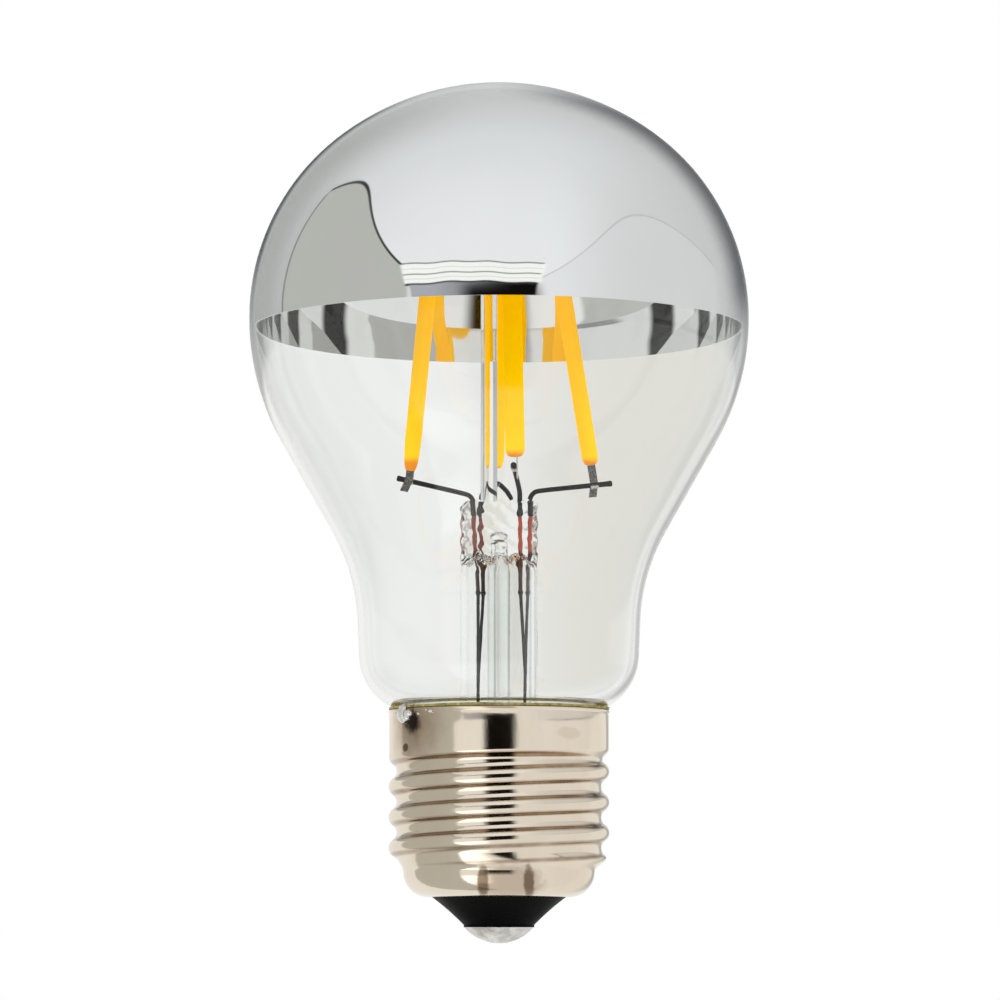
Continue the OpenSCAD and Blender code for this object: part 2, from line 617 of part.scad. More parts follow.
// Rolled thread: one sheet with the same wave on both faces. Its two ends are thinner and are tucked
// into the walls of the base and the skirt.
module rolled_thread() {
    n = thread_sides;
    m = thread_rows;
    z_low = thread_z - tuck;
    z_high = skirt_z + tuck;
    zs = concat([z_low], [for (i = [0:m - 3]) thread_z + thread_h * i / (m - 3)], [z_high]);
    thin = [for (i = [0:m - 1]) i <= 1 || i >= m - 2 ? sheet_t / 4 : 0];
    faces_of = function (inner) [for (i = [0:m - 1], k = [0:n - 1]) let (a = 360 * k / n,
        r = thread_r(zs[i], a, inner ? sheet_t - thin[i] : thin[i])) concat(r * polar(a), zs[i])];
    at = function (s, i, k) s * m * n + i * n + k % n;
    quads = concat(
        [for (i = [0:m - 2], k = [0:n - 1])
            [at(0, i, k), at(0, i + 1, k), at(0, i + 1, k + 1), at(0, i, k + 1)]],
        [for (i = [0:m - 2], k = [0:n - 1])
            [at(1, i, k), at(1, i, k + 1), at(1, i + 1, k + 1), at(1, i + 1, k)]],
        [for (k = [0:n - 1]) [at(0, 0, k), at(0, 0, k + 1), at(1, 0, k + 1), at(1, 0, k)]],
        [for (k = [0:n - 1]) [at(0, m - 1, k), at(1, m - 1, k), at(1, m - 1, k + 1), at(0, m - 1, k + 1)]]);
    polyhedron(concat(faces_of(false), faces_of(true)),
        [for (q = quads) each [[q[0], q[1], q[2]], [q[0], q[2], q[3]]]]);
}

// Cap shell: floor with its round edge, rolled thread, and plain skirt with a small lip
module cap_shell() color("lightgray") {
    base_c = [base_r - base_round, floor_z + base_round];
    rotate_extrude() polygon(concat(
        [[floor_hole_r, floor_z]], arc(base_c, base_round, -90, 0),
        arc(base_c, base_round - sheet_t, 0, -90), [[floor_hole_r, floor_z + sheet_t]]));
    rolled_thread();
    translate([0, 0, skirt_z]) difference() {
        union() {
            cylinder(r = skirt_r, h = skirt_h);
            translate([0, 0, skirt_h - lip_h]) cylinder(r = skirt_r + lip_out, h = lip_h);
        }
        translate([0, 0, -1]) cylinder(r = skirt_r - sheet_t, h = skirt_h + 2);
    }
}

// Insulator: hollow-flanked cone below the floor, and a plug that fills the shell's base
module cap_insulator() color([0.06, 0.06, 0.07]) {
    base_c = [base_r - base_round, floor_z + base_round];
    top = [floor_hole_r - fit, floor_z];
    low = [nose_r, contact_h + nose_edge];
    chord = norm(top - low);
    dish_r = chord * chord / (8 * cone_dish);
    mid = (top + low) / 2;
    square_off = unit([top[1] - low[1], low[0] - top[0]]);
    dish_c = mid + square_off * sqrt(dish_r * dish_r - chord * chord / 4);
    a = atan2(low[1] - dish_c[1], low[0] - dish_c[0]);
    b = atan2(top[1] - dish_c[1], top[0] - dish_c[0]);
    reach = asin((base_c[1] - plug_z) / (base_round - sheet_t - fit));
    rotate_extrude() polygon(concat(
        [[contact_hole_r, contact_h + fit], [nose_r, contact_h + fit]],
        [for (i = [0:6]) dish_c + dish_r * polar(mix(a, b, i / 6))],
        [[floor_hole_r - fit, floor_z + sheet_t + fit]],
        arc(base_c, base_round - sheet_t - fit, -90, -reach),
        [[contact_hole_r, plug_z]]));
}

// Contact: domed plate on the insulator's nose
contact_r = nose_r - contact_inset;
dome_r = (contact_r * contact_r + contact_h * contact_h) / (2 * contact_h);
module dome(r) intersection() {
    translate([0, dome_r]) circle(r, $fn = 240);
    square([contact_r, contact_h]);
}
module centre_contact() color("silver")
    rotate_extrude() difference() {
        dome(dome_r);
        dome(dome_r - contact_t);
        square([contact_hole_r, contact_h]);
    }

// Solder that fills the contact's hole round the contact wire
solder_z = contact_t + contact_hole_r / 2;
module contact_solder() color("gainsboro") difference() {
    rotate_extrude() intersection() {
        dome(dome_r);
        square([contact_hole_r - fit, solder_z]);
    }
    translate([0, 0, contact_t]) cylinder(r = mains_r + fit, h = contact_h, $fn = 48);
}

// Cement: fills the cap between the seal neck and the skirt, and wells up round the rim
module cement_region() difference() {
    union() {
        translate([0, rim_z - cement_depth]) square([skirt_r - sheet_t - fit, cement_depth + cement_rise]);
        translate([0, rim_z + fit]) square([skirt_r, cement_rise - fit]);
    }
    glass_region(-fit, below = 1);
}
module capping_cement() color("olive") difference() {
    rotate_extrude() cement_region();
    shell_wire_room(2, 2 * fit);
    side_blob(solder_r + fit);
}

// Mains wire to the shell: up between the neck and the thread, over the rim and into the side solder
function around(r, z) = concat(r * polar(solder_angle), z);
run_r = seal_neck_r + wire_gap / 2;
mains_turn = 0.25;
over_z = rim_z + mains_r + 2 * fit;
shell_lead_path = [
    [cap_gap + mains_r - board_w / 2 + 2 * mains_turn, board_y - mains_r - fit, plug_z + board_h / 3],
    [cap_gap + mains_r - board_w / 2, board_y - leg_room, flare_z - 4],
    around(run_r, flare_z - 1), around(run_r, fillet_c[1] - mains_turn),
    around(skirt_r - sheet_t - 2 * mains_turn, rim_z - 2 * mains_turn),
    around(skirt_r - sheet_t - mains_r, over_z),
    around(skirt_r + lip_out + cap_gap, over_z)];
module shell_lead() color("silver")
    wire(bent([for (p = shell_lead_path) concat(p, mains_r)], mains_turn, 3));
module shell_wire_room(first, room) for (i = [first:5]) {
    bar(shell_lead_path[i], shell_lead_path[i + 1], mains_r + room);
    if (i > first) translate(shell_lead_path[i]) sphere(mains_r + room + fit, $fn = 24);
}

// Side solder: a blob on the skirt, over the rim and round the wire's end
blob_in = 0.15;
blob_over = 0.45;
blob_z = rim_z - solder_h + solder_r + blob_over;
module side_blob(r) translate(around(skirt_r - blob_in, blob_z)) rotate_extrude() {
    h = solder_h - 2 * solder_r;
    square([r, h]);
    intersection() {
        circle(r);
        translate([0, -r]) square([r, r]);
    }
    translate([0, h]) intersection() {
        circle(r);
        square([r, r]);
    }
}
module side_solder() color("gainsboro") difference() {
    side_blob(solder_r);
    lip_r = skirt_r + lip_out + fit;
    rotate_extrude() polygon([[0, 0], [skirt_r + fit, 0], [skirt_r + fit, rim_z - lip_h - fit],
        [lip_r, rim_z - lip_h - fit], [lip_r, rim_z + fit], [skirt_r + 2 * fit, rim_z + fit],
        [skirt_r + 2 * fit, rim_z + bulge_r], [0, rim_z + bulge_r]]);
    shell_wire_room(5, fit);
}

// Driver board, standing on the insulator behind the exhaust tube
module driver_board() color("darkgreen")
    translate([-board_w / 2, board_y, plug_z]) cube([board_w, board_t, board_h]);

// Sizes of the packages on the board's back face, across, off the board and up, and of their feet
back_y = board_y + board_t;
package_z = plug_z + board_h / 3;
bridge_size = [4.7, 2.4, 3.8];
chip_size = [4.9, 1.4, 3.8];
lift = 0.1;
foot_l = 0.7;
sense_x = board_w / 21;
sense_size = [0.8, 0.45, 1.6];

// Chip package with a row of feet above and below, flat on the board's back face
module package(size, feet, foot_w) {
    translate([-size[0] / 2, lift, -size[2] / 2]) cube(size);
    for (k = [0:feet - 1], side = [-1, 1]) {
        x = (k - (feet - 1) / 2) * size[0] / feet;
        translate([x - foot_w / 2, 0, side * (size[2] + foot_l - 2 * lift) / 2 - foot_l / 2])
            cube([foot_w, lift + size[1] / 2, foot_l]);
    }
}
module bridge_rectifier() color([0.12, 0.12, 0.12])
    translate([-board_w / 4 - cap_gap, back_y, package_z]) package(bridge_size, 2, 0.7);
module driver_chip() color([0.12, 0.12, 0.12])
    translate([board_w / 4 + cap_gap, back_y, package_z]) package(chip_size, 4, 0.45);
module sense_resistors() color([0.15, 0.15, 0.18])
    for (x = [-1, 1]) translate([x * sense_x - sense_size[0] / 2, back_y, plug_z + board_h / 4])
        cube(sense_size);

// Smoothing capacitor: can on its side in front of the board, with its leads turned back to it
leg_r = 0.25;
can_leg_z = 1.25;
can_leg_out = 1;
crimp_r = 0.3;
crimp_in = 1.4;
module smoothing_capacitor() color([0.15, 0.17, 0.25]) {
    translate([-cap_can_l / 2, can_y, can_z]) rotate([0, 90, 0]) rotate_extrude() difference() {
        square([cap_can_r, cap_can_l]);
        translate([cap_can_r, cap_can_l - crimp_in]) circle(crimp_r, $fn = 24);
    }
    for (dz = [-can_leg_z, can_leg_z]) translate([cap_can_l / 2, can_y, can_z + dz]) {
        translate([-2 * leg_r, 0, 0]) rotate([0, 90, 0])
            cylinder(r = leg_r, h = can_leg_out + 2 * leg_r, $fn = 24);
        translate([can_leg_out - leg_r, 0, -leg_r]) cube([leg_r, board_y - can_y, 2 * leg_r]);
    }
}

// Fuse resistor: axial body with swollen ends on the board's back face, and legs bent to the board
fuse_waist = 0.88;
fuse_leg = 0.4;
fuse_leg_out = 1.1;
module fuse_resistor() color("darkkhaki") translate([0, back_y + fuse_r + lift, fuse_z]) {
    translate([-fuse_l / 2, 0, 0]) rotate([0, 90, 0]) rotate_extrude() {
        square([fuse_r * fuse_waist, fuse_l]);
        for (z = [0, fuse_l - fuse_l / 4]) translate([0, z]) square([fuse_r, fuse_l / 4]);
    }
    for (x = [-1, 1]) translate([x * (fuse_l / 2 + fuse_leg_out - fuse_leg / 2), 0, -fuse_leg / 2]) {
        translate([-fuse_leg / 2 - (x > 0 ? fuse_leg_out : 0), -fuse_leg / 2, 0])
            cube([fuse_leg_out + fuse_leg, fuse_leg, fuse_leg]);
        translate([-fuse_leg / 2, -fuse_r - lift, 0])
            cube([fuse_leg, fuse_r + lift + fuse_leg / 2, fuse_leg]);
    }
}

// Mains wire from the contact's solder up through the insulator to the board
module contact_lead() color("silver")
    wire(bent([for (p = [[0, 0, contact_t + fit], [0, 0, plug_z + mains_r],
        [exhaust_r, board_y - mains_r - fit, plug_z + 3 * mains_r],
        [exhaust_r, board_y - mains_r - fit, plug_z + board_h / 5]]) concat(p, mains_r)], mains_r, 3));

glass_bulb();
mirror_coating();
stem_flare();
exhaust_tube();
support_rod();
bracket_wire(LEFT);  // bracket_wire_left
bracket_wire(FRONT);  // bracket_wire_front
bracket_wire(RIGHT);  // bracket_wire_right
bracket_wire(BACK);  // bracket_wire_back
seal_wire(LEFT);  // seal_wire_left
seal_wire(FRONT);  // seal_wire_front
seal_wire(RIGHT);  // seal_wire_right
seal_wire(BACK);  // seal_wire_back
lead_wire(LEFT);  // lead_wire_left
lead_wire(FRONT);  // lead_wire_front
lead_wire(RIGHT);  // lead_wire_right
lead_wire(BACK);  // lead_wire_back
coat(LEFT);  // filament_left
coat(FRONT);  // filament_front
coat(RIGHT);  // filament_right
coat(BACK);  // filament_back
chip_strip(LEFT);  // chip_strip_left
chip_strip(FRONT);  // chip_strip_front
chip_strip(RIGHT);  // chip_strip_right
chip_strip(BACK);  // chip_strip_back
lower_tab(LEFT);  // lower_tab_left
lower_tab(FRONT);  // lower_tab_front
lower_tab(RIGHT);  // lower_tab_right
lower_tab(BACK);  // lower_tab_back
upper_tab(LEFT);  // upper_tab_left
upper_tab(FRONT);  // upper_tab_front
upper_tab(RIGHT);  // upper_tab_right
upper_tab(BACK);  // upper_tab_back
top_wire(LEFT, RIGHT);  // top_wire_side
top_wire(FRONT, BACK);  // top_wire_depth
cap_shell();
cap_insulator();
centre_contact();
contact_solder();
side_solder();
capping_cement();
driver_board();
bridge_rectifier();
driver_chip();
smoothing_capacitor();
fuse_resistor();
sense_resistors();
shell_lead();
contact_lead();
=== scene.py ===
"""Half-mirror filament bulb with a screw cap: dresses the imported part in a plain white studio.

Each sub-assembly of the bulb is a class that models its pieces and gives them their finish. Sizes
are millimetres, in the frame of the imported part: the cap's contact is at the origin and +Z runs up.
"""

import logging
from dataclasses import dataclass, field
from enum import Enum
from math import acos, asin, atan2, cos, degrees, hypot, pi, radians, sin, sqrt, tan
from typing import Callable, Sequence

import bpy
import numpy as np
from mathutils import Matrix, Vector


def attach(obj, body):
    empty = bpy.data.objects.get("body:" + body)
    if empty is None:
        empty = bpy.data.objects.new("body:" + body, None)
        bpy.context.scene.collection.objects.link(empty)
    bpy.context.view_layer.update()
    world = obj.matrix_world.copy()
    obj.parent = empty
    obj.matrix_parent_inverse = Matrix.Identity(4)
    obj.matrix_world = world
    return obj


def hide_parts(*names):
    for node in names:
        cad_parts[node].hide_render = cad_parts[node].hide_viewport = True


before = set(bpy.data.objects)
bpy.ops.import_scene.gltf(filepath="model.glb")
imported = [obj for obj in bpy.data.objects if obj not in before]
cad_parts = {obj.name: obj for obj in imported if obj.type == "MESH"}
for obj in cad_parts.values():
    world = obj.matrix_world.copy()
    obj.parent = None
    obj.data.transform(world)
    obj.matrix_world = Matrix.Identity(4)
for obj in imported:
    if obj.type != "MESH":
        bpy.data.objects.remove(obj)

MM = 0.001
BODY = "root"
LOG = logging.getLogger("bulb")

Point = tuple[float, float]
Colour = tuple[float, float, float]


class Side(Enum):
    """The four filaments, in the order in which the part numbers them."""

    LEFT = 0
    FRONT = 1
    RIGHT = 2
    BACK = 3

    @property
    def word(self) -> str:
        """Name of the side as the part's nodes spell it."""
        return self.name.lower()


# ---------------------------------------------------------------- small geometry


def polar(angle: float) -> Vector:
    """Unit vector of the plane at an angle in degrees."""
    return Vector((cos(radians(angle)), sin(radians(angle))))


def arc(centre: Sequence[float], radius: float, start: float, stop: float, step: float = 3.0) -> list[Point]:
    """Points of an arc, both ends included.

    Args:
        centre: Centre of the arc, as radius and height.
        radius: Radius of the arc.
        start: First angle in degrees.
        stop: Last angle in degrees.
        step: Largest angle between two points.

    Returns:
        The points, as radius and height.
    """
    count = max(2, int(np.ceil(abs(stop - start) / step)))
    turns = [start + (stop - start) * i / count for i in range(count + 1)]
    return [(centre[0] + radius * cos(radians(t)), centre[1] + radius * sin(radians(t))) for t in turns]


def ease(x: float, low: float, high: float) -> float:
    """Eased step from 0 to 1 while x runs from low to high."""
    t = min(1.0, max(0.0, (x - low) / (high - low)))
    return t * t * (3 - 2 * t)


def mix(a: float, b: float, t: float) -> float:
    """Value between a and b, at share t."""
    return a + (b - a) * t


# ---------------------------------------------------------------- modelling by operators


def active() -> bpy.types.Object:
    """The object that the operators act on."""
    return bpy.context.view_layer.objects.active


def pick(piece: bpy.types.Object) -> None:
    """Leaves one object selected and active."""
    bpy.ops.object.select_all(action="DESELECT")
    piece.select_set(True)
    bpy.context.view_layer.objects.active = piece


def edit(mode: str = "VERT") -> None:
    """Opens the active object in edit mode with everything selected."""
    bpy.ops.object.mode_set(mode="EDIT")
    bpy.ops.mesh.select_mode(type=mode)
    bpy.ops.mesh.select_all(action="SELECT")


def close_up(smooth_angle: float = 38.0) -> None:
    """Merges the active object's doubles, turns its faces outwards and shades it.

    Args:
        smooth_angle: Edges sharper than this angle stay sharp, in degrees.
    """
    if active().mode != "EDIT":
        edit()
    bpy.ops.mesh.select_all(action="SELECT")
    bpy.ops.mesh.remove_doubles(threshold=0.002 * MM)
    bpy.ops.mesh.normals_make_consistent(inside=False)
    bpy.ops.object.mode_set(mode="OBJECT")
    bpy.ops.object.shade_smooth_by_angle(angle=radians(smooth_angle))


def trace(outline: Sequence[Point], closed: bool) -> bpy.types.Object:
    """Draws an outline in the XZ plane by extruding one vertex from point to point.

    Args:
        outline: Points as radius and height.
        closed: Whether the last point runs back to the first.

    Returns:
        The new object, in edit mode.
    """
    bpy.ops.object.select_all(action="DESELECT")
    bpy.ops.mesh.primitive_plane_add(size=MM)
    edit()
    bpy.ops.mesh.merge(type="CENTER")
    points = [Vector((x, 0, z)) * MM for x, z in outline]
    if closed:
        points.append(points[0])
    bpy.ops.transform.translate(value=points[0])
    for here, there in zip(points, points[1:]):
        bpy.ops.mesh.extrude_region_move(TRANSFORM_OT_translate={"value": there - here})
    return active()


def lathe(outline: Sequence[Point], steps: int, closed: bool = True, smooth_angle: float = 38.0) -> bpy.types.Object:
    """Spins an outline round the Z axis.

    Args:
        outline: Points as radius and height.
        steps: Facets round the axis.
        closed: Whether the outline is closed before it is spun, which one that ends on the axis twice never is.
        smooth_angle: Edges sharper than this angle stay sharp, in degrees.

    Returns:
        The turned piece.
    """
    piece = trace(outline, closed and (outline[0][0] > 0 or outline[-1][0] > 0))
    bpy.ops.mesh.select_all(action="SELECT")
    bpy.ops.mesh.spin(steps=steps, angle=2 * pi, center=(0, 0, 0), axis=(0, 0, 1))
    close_up(smooth_angle)
    return piece


def reshape(piece: bpy.types.Object, change: Callable[[np.ndarray], np.ndarray]) -> None:
    """Moves a piece's vertices.

    Args:
        piece: The piece.
        change: Takes the vertices in millimetres, one to a row, and returns them moved.
    """
    rows = np.empty(len(piece.data.vertices) * 3)
    piece.data.vertices.foreach_get("co", rows)
    moved = change(rows.reshape(-1, 3) / MM) * MM
    piece.data.vertices.foreach_set("co", moved.ravel())
    piece.data.update()


def apply(piece: bpy.types.Object, kind: str, **settings: object) -> None:
    """Adds a modifier with these settings and applies it.

    Args:
        piece: The piece.
        kind: Kind of modifier.
        settings: Values of the modifier's own properties.
    """
    pick(piece)
    modifier = piece.modifiers.new(kind.title(), kind)
    for key, value in settings.items():
        setattr(modifier, key, value)
    bpy.ops.object.modifier_apply(modifier=modifier.name)


def set_down(piece: bpy.types.Object, place: Matrix) -> None:
    """Puts a piece that was modelled at the origin in its place, and makes the place part of its mesh."""
    pick(piece)
    piece.matrix_world = place
    bpy.ops.object.transform_apply(location=True, rotation=True, scale=True)


def rounded_copy(node: str, levels: int, swell: float) -> bpy.types.Object:
    """Copies a CAD node, merges its loose triangles and rounds it off.

    Args:
        node: Name of the CAD node.
        levels: Subdivisions.
        swell: How far the faces move out first, since rounding shrinks a wire, in millimetres.

    Returns:
        The rounded copy.
    """
    piece = bpy.data.objects.new(f"{node}_round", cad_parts[node].data.copy())
    bpy.context.scene.collection.objects.link(piece)
    pick(piece)
    bpy.ops.mesh.customdata_custom_splitnormals_clear()
    edit()
    bpy.ops.mesh.remove_doubles(threshold=0.002 * MM)
    bpy.ops.mesh.tris_convert_to_quads()
    if swell:
        bpy.ops.transform.shrink_fatten(value=swell * MM)
    bpy.ops.object.mode_set(mode="OBJECT")
    if levels:
        apply(piece, "SUBSURF", levels=levels, render_levels=levels)
    pick(piece)
    close_up()
    return piece


def mount(piece: bpy.types.Object, name: str, slot: str, finish: bpy.types.Material, *nodes: str) -> bpy.types.Object:
    """Names a finished piece, gives it its finish and lets it stand for CAD nodes.

    Args:
        piece: The piece, in its place.
        name: Its new name.
        slot: Not used.
        finish: Its material.
        nodes: CAD nodes that it stands for.

    Returns:
        The same piece.
    """
    piece.name = name
    piece.data.name = name
    piece.data.materials.clear()
    piece.data.materials.append(finish)
    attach(piece, BODY)
    if nodes:
        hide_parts(*nodes)
    LOG.info("piece %s: %d faces, for %s", name, len(piece.data.polygons), ", ".join(nodes) or "none")
    return piece


def dress(node: str, finish: bpy.types.Material) -> None:
    """Gives a CAD node that stays in view its finish."""
    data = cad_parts[node].data
    data.materials.clear()
    data.materials.append(finish)
    LOG.info("node %s: %s", node, finish.name)


# ---------------------------------------------------------------- node groups and finishes


class Nodes:
    """Adds shader nodes to a tree and joins them."""

    def __init__(self, tree: bpy.types.NodeTree) -> None:
        """Takes an empty tree.

        Args:
            tree: The material's, world's or group's node tree.
        """
        self.tree = tree

    def add(self, kind: str, inputs: dict | None = None, **settings: object) -> bpy.types.Node:
        """Adds a node.

        Args:
            kind: Type name of the node.
            inputs: Value or output socket for each input, by its name or number.
            settings: Values of the node's own properties.

        Returns:
            The new node.
        """
        node = self.tree.nodes.new(kind)
        for key, value in settings.items():
            setattr(node, key, value)
        for key, value in (inputs or {}).items():
            if isinstance(value, bpy.types.NodeSocket):
                self.tree.links.new(value, node.inputs[key])
            else:
                node.inputs[key].default_value = value
        return node

    def maths(self, operation: str, *values: object, clamp: bool = False) -> bpy.types.NodeSocket:
        """Adds a Math node and returns its output."""
        return self.add("ShaderNodeMath", dict(enumerate(values)), operation=operation, use_clamp=clamp).outputs[0]

    def blend(self, share: object, first: object, second: object, kind: str = "MIX") -> bpy.types.NodeSocket:
        """Mixes two colours.

        Args:
            share: Share of the second colour.
            first: First colour.
            second: Second colour.
            kind: Way in which they are mixed.

        Returns:
            The mixed colour.
        """
        node = self.add("ShaderNodeMix", data_type="RGBA", blend_type=kind)
        for socket, value in zip((node.inputs[0], node.inputs[6], node.inputs[7]), (share, first, second)):
            if isinstance(value, bpy.types.NodeSocket):
                self.tree.links.new(value, socket)
            else:
                socket.default_value = value if isinstance(value, (int, float)) else (*value, 1.0)
        return node.outputs[2]

    def ramp(self, value: object, low: float, high: float, to_low: float = 0.0, to_high: float = 1.0) -> bpy.types.NodeSocket:
        """Maps a value from one range to another with a soft step, clamped at both ends.

        Args:
            value: The value.
            low: Low end of its range.
            high: High end of its range.
            to_low: What the low end becomes.
            to_high: What the high end becomes.

        Returns:
            The mapped value.
        """
        inputs = {"Value": value, "From Min": low, "From Max": high, "To Min": to_low, "To Max": to_high}
        return self.add("ShaderNodeMapRange", inputs, interpolation_type="SMOOTHSTEP").outputs[0]


def new_group(name: str, inputs: dict[str, float | Colour], outputs: dict[str, str]) -> tuple[Nodes, bpy.types.Node, bpy.types.Node]:
    """Starts a shader node group that starts from a Vector input.

    Args:
        name: Name of the group.
        inputs: Names and defaults of its value inputs.
        outputs: Names and socket types of its outputs.

    Returns:
        The group's nodes, its input node and its output node.
    """
    tree = bpy.data.node_groups.new(name, "ShaderNodeTree")
    tree.interface.new_socket("Vector", in_out="INPUT", socket_type="NodeSocketVector")
    for key, value in inputs.items():
        socket = tree.interface.new_socket(key, in_out="INPUT", socket_type="NodeSocketFloat")
        socket.default_value = value
    for key, kind in outputs.items():
        tree.interface.new_socket(key, in_out="OUTPUT", socket_type=kind)
    nodes = Nodes(tree)
    return nodes, nodes.add("NodeGroupInput"), nodes.add("NodeGroupOutput")


def mottle_group() -> bpy.types.NodeTree:
    """Soft cloudy variation between two values, with a fine part in it."""
    nodes, source, target = new_group("Mottle", {"Scale": 200.0, "Low": 0.0, "High": 1.0}, {"Value": "NodeSocketFloat"})
    cloud = nodes.add("ShaderNodeTexNoise", {"Vector": source.outputs[0], "Scale": source.outputs["Scale"], "Detail": 5.0, "Roughness": 0.6})
    inputs = {"Value": cloud.outputs[0], "From Min": 0.3, "From Max": 0.7, "To Min": source.outputs["Low"], "To Max": source.outputs["High"]}
    spread = nodes.add("ShaderNodeMapRange", inputs)
    nodes.tree.links.new(spread.outputs[0], target.inputs["Value"])
    return nodes.tree


def grain_group() -> bpy.types.NodeTree:
    """Fine grain as a bump, for sheet, glass, cement and moulded faces."""
    nodes, source, target = new_group("Grain", {"Scale": 800.0, "Strength": 0.2, "Depth": 0.0001}, {"Normal": "NodeSocketVector"})
    noise = nodes.add("ShaderNodeTexNoise", {"Vector": source.outputs[0], "Scale": source.outputs["Scale"], "Detail": 4.0})
    inputs = {"Height": noise.outputs[0], "Strength": source.outputs["Strength"], "Distance": source.outputs["Depth"]}
    bump = nodes.add("ShaderNodeBump", inputs)
    nodes.tree.links.new(bump.outputs[0], target.inputs["Normal"])
    return nodes.tree


MOTTLE = mottle_group()
GRAIN = grain_group()


@dataclass(frozen=True)
class Finish:
    """A finish whose colour, gloss and grain vary a little over the surface."""

    name: str
    colour: Colour
    shade: Colour
    rough: Point = (0.3, 0.4)
    metallic: float = 0.0
    patch: float = 400.0
    grain: float = 1500.0
    depth: float = 0.00003
    stretch: tuple[float, float, float] = (1.0, 1.0, 1.0)
    gloss: float = 0.5

    def start(self) -> tuple[Nodes, bpy.types.NodeSocket, bpy.types.Node]:
        """Makes the material with its Principled shader.

        Returns:
            The material's nodes, its Object coordinates and its Principled node.
        """
        material = bpy.data.materials.new(self.name)
        material.use_nodes = True
        material.node_tree.nodes.clear()
        nodes = Nodes(material.node_tree)
        place = nodes.add("ShaderNodeTexCoord").outputs["Object"]
        shader = nodes.add("ShaderNodeBsdfPrincipled")
        shader.inputs["Metallic"].default_value = self.metallic
        shader.inputs["Specular IOR Level"].default_value = self.gloss
        output = nodes.add("ShaderNodeOutputMaterial")
        nodes.tree.links.new(shader.outputs[0], output.inputs[0])
        return nodes, place, shader

    def surface(self, nodes: Nodes, place: bpy.types.NodeSocket, shader: bpy.types.Node) -> bpy.types.NodeSocket:
        """Joins the varying colour, roughness and grain to the shader.

        Args:
            nodes: The material's nodes.
            place: Object coordinates.
            shader: The Principled node.

        Returns:
            The colour that feeds the shader.
        """
        drawn = nodes.add("ShaderNodeMapping", {"Vector": place, "Scale": self.stretch}).outputs[0]
        share = self.group(nodes, MOTTLE, drawn, Scale=self.patch).outputs[0]
        colour = nodes.blend(share, self.colour, self.shade)
        rough = self.group(nodes, MOTTLE, drawn, Scale=self.patch * 2.3, Low=self.rough[0], High=self.rough[1]).outputs[0]
        grain = self.group(nodes, GRAIN, drawn, Scale=self.grain, Strength=0.5, Depth=self.depth).outputs[0]
        nodes.tree.links.new(colour, shader.inputs["Base Color"])
        nodes.tree.links.new(rough, shader.inputs["Roughness"])
        nodes.tree.links.new(grain, shader.inputs["Normal"])
        return colour

    @staticmethod
    def group(nodes: Nodes, tree: bpy.types.NodeTree, place: bpy.types.NodeSocket, **values: float) -> bpy.types.Node:
        """Places a node group with its own values.

        Args:
            nodes: The material's nodes.
            tree: The group.
            place: What feeds its Vector.
            values: Values of its other inputs.

        Returns:
            The group's node.
        """
        node = nodes.add("ShaderNodeGroup", node_tree=tree)
        nodes.tree.links.new(place, node.inputs["Vector"])
        for key, value in values.items():
            node.inputs[key].default_value = value
        return node

    def make(self) -> bpy.types.Material:
        """Builds the finish as a material."""
        nodes, place, shader = self.start()
        self.surface(nodes, place, shader)
        return bpy.data.materials[self.name]


@dataclass(frozen=True)
class GlassFinish(Finish):
    """Clear glass that lets the lamps through to what is behind it."""

    ior: float = 1.5
    ripple: float = 60.0
    ripple_depth: float = 0.00002

    def make(self) -> bpy.types.Material:
        """Builds the glass: faint ripples, and a Transparent shader for rays from lamps."""
        nodes, place, shader = self.start()
        shader.inputs["Transmission Weight"].default_value = 1.0
        shader.inputs["IOR"].default_value = self.ior
        shader.inputs["Roughness"].default_value = self.rough[0]
        share = self.group(nodes, MOTTLE, place, Scale=self.patch).outputs[0]
        nodes.tree.links.new(nodes.blend(share, self.colour, self.shade), shader.inputs["Base Color"])
        ripple = self.group(nodes, GRAIN, place, Scale=self.ripple, Strength=0.5, Depth=self.ripple_depth).outputs[0]
        nodes.tree.links.new(ripple, shader.inputs["Normal"])
        path = nodes.add("ShaderNodeLightPath")
        through = nodes.add("ShaderNodeBsdfTransparent", {"Color": (*self.colour, 1.0)})
        both = nodes.add("ShaderNodeMixShader", {0: path.outputs["Is Shadow Ray"], 1: shader.outputs[0], 2: through.outputs[0]})
        output = next(n for n in nodes.tree.nodes if n.type == "OUTPUT_MATERIAL")
        nodes.tree.links.new(both.outputs[0], output.inputs[0])
        return bpy.data.materials[self.name]


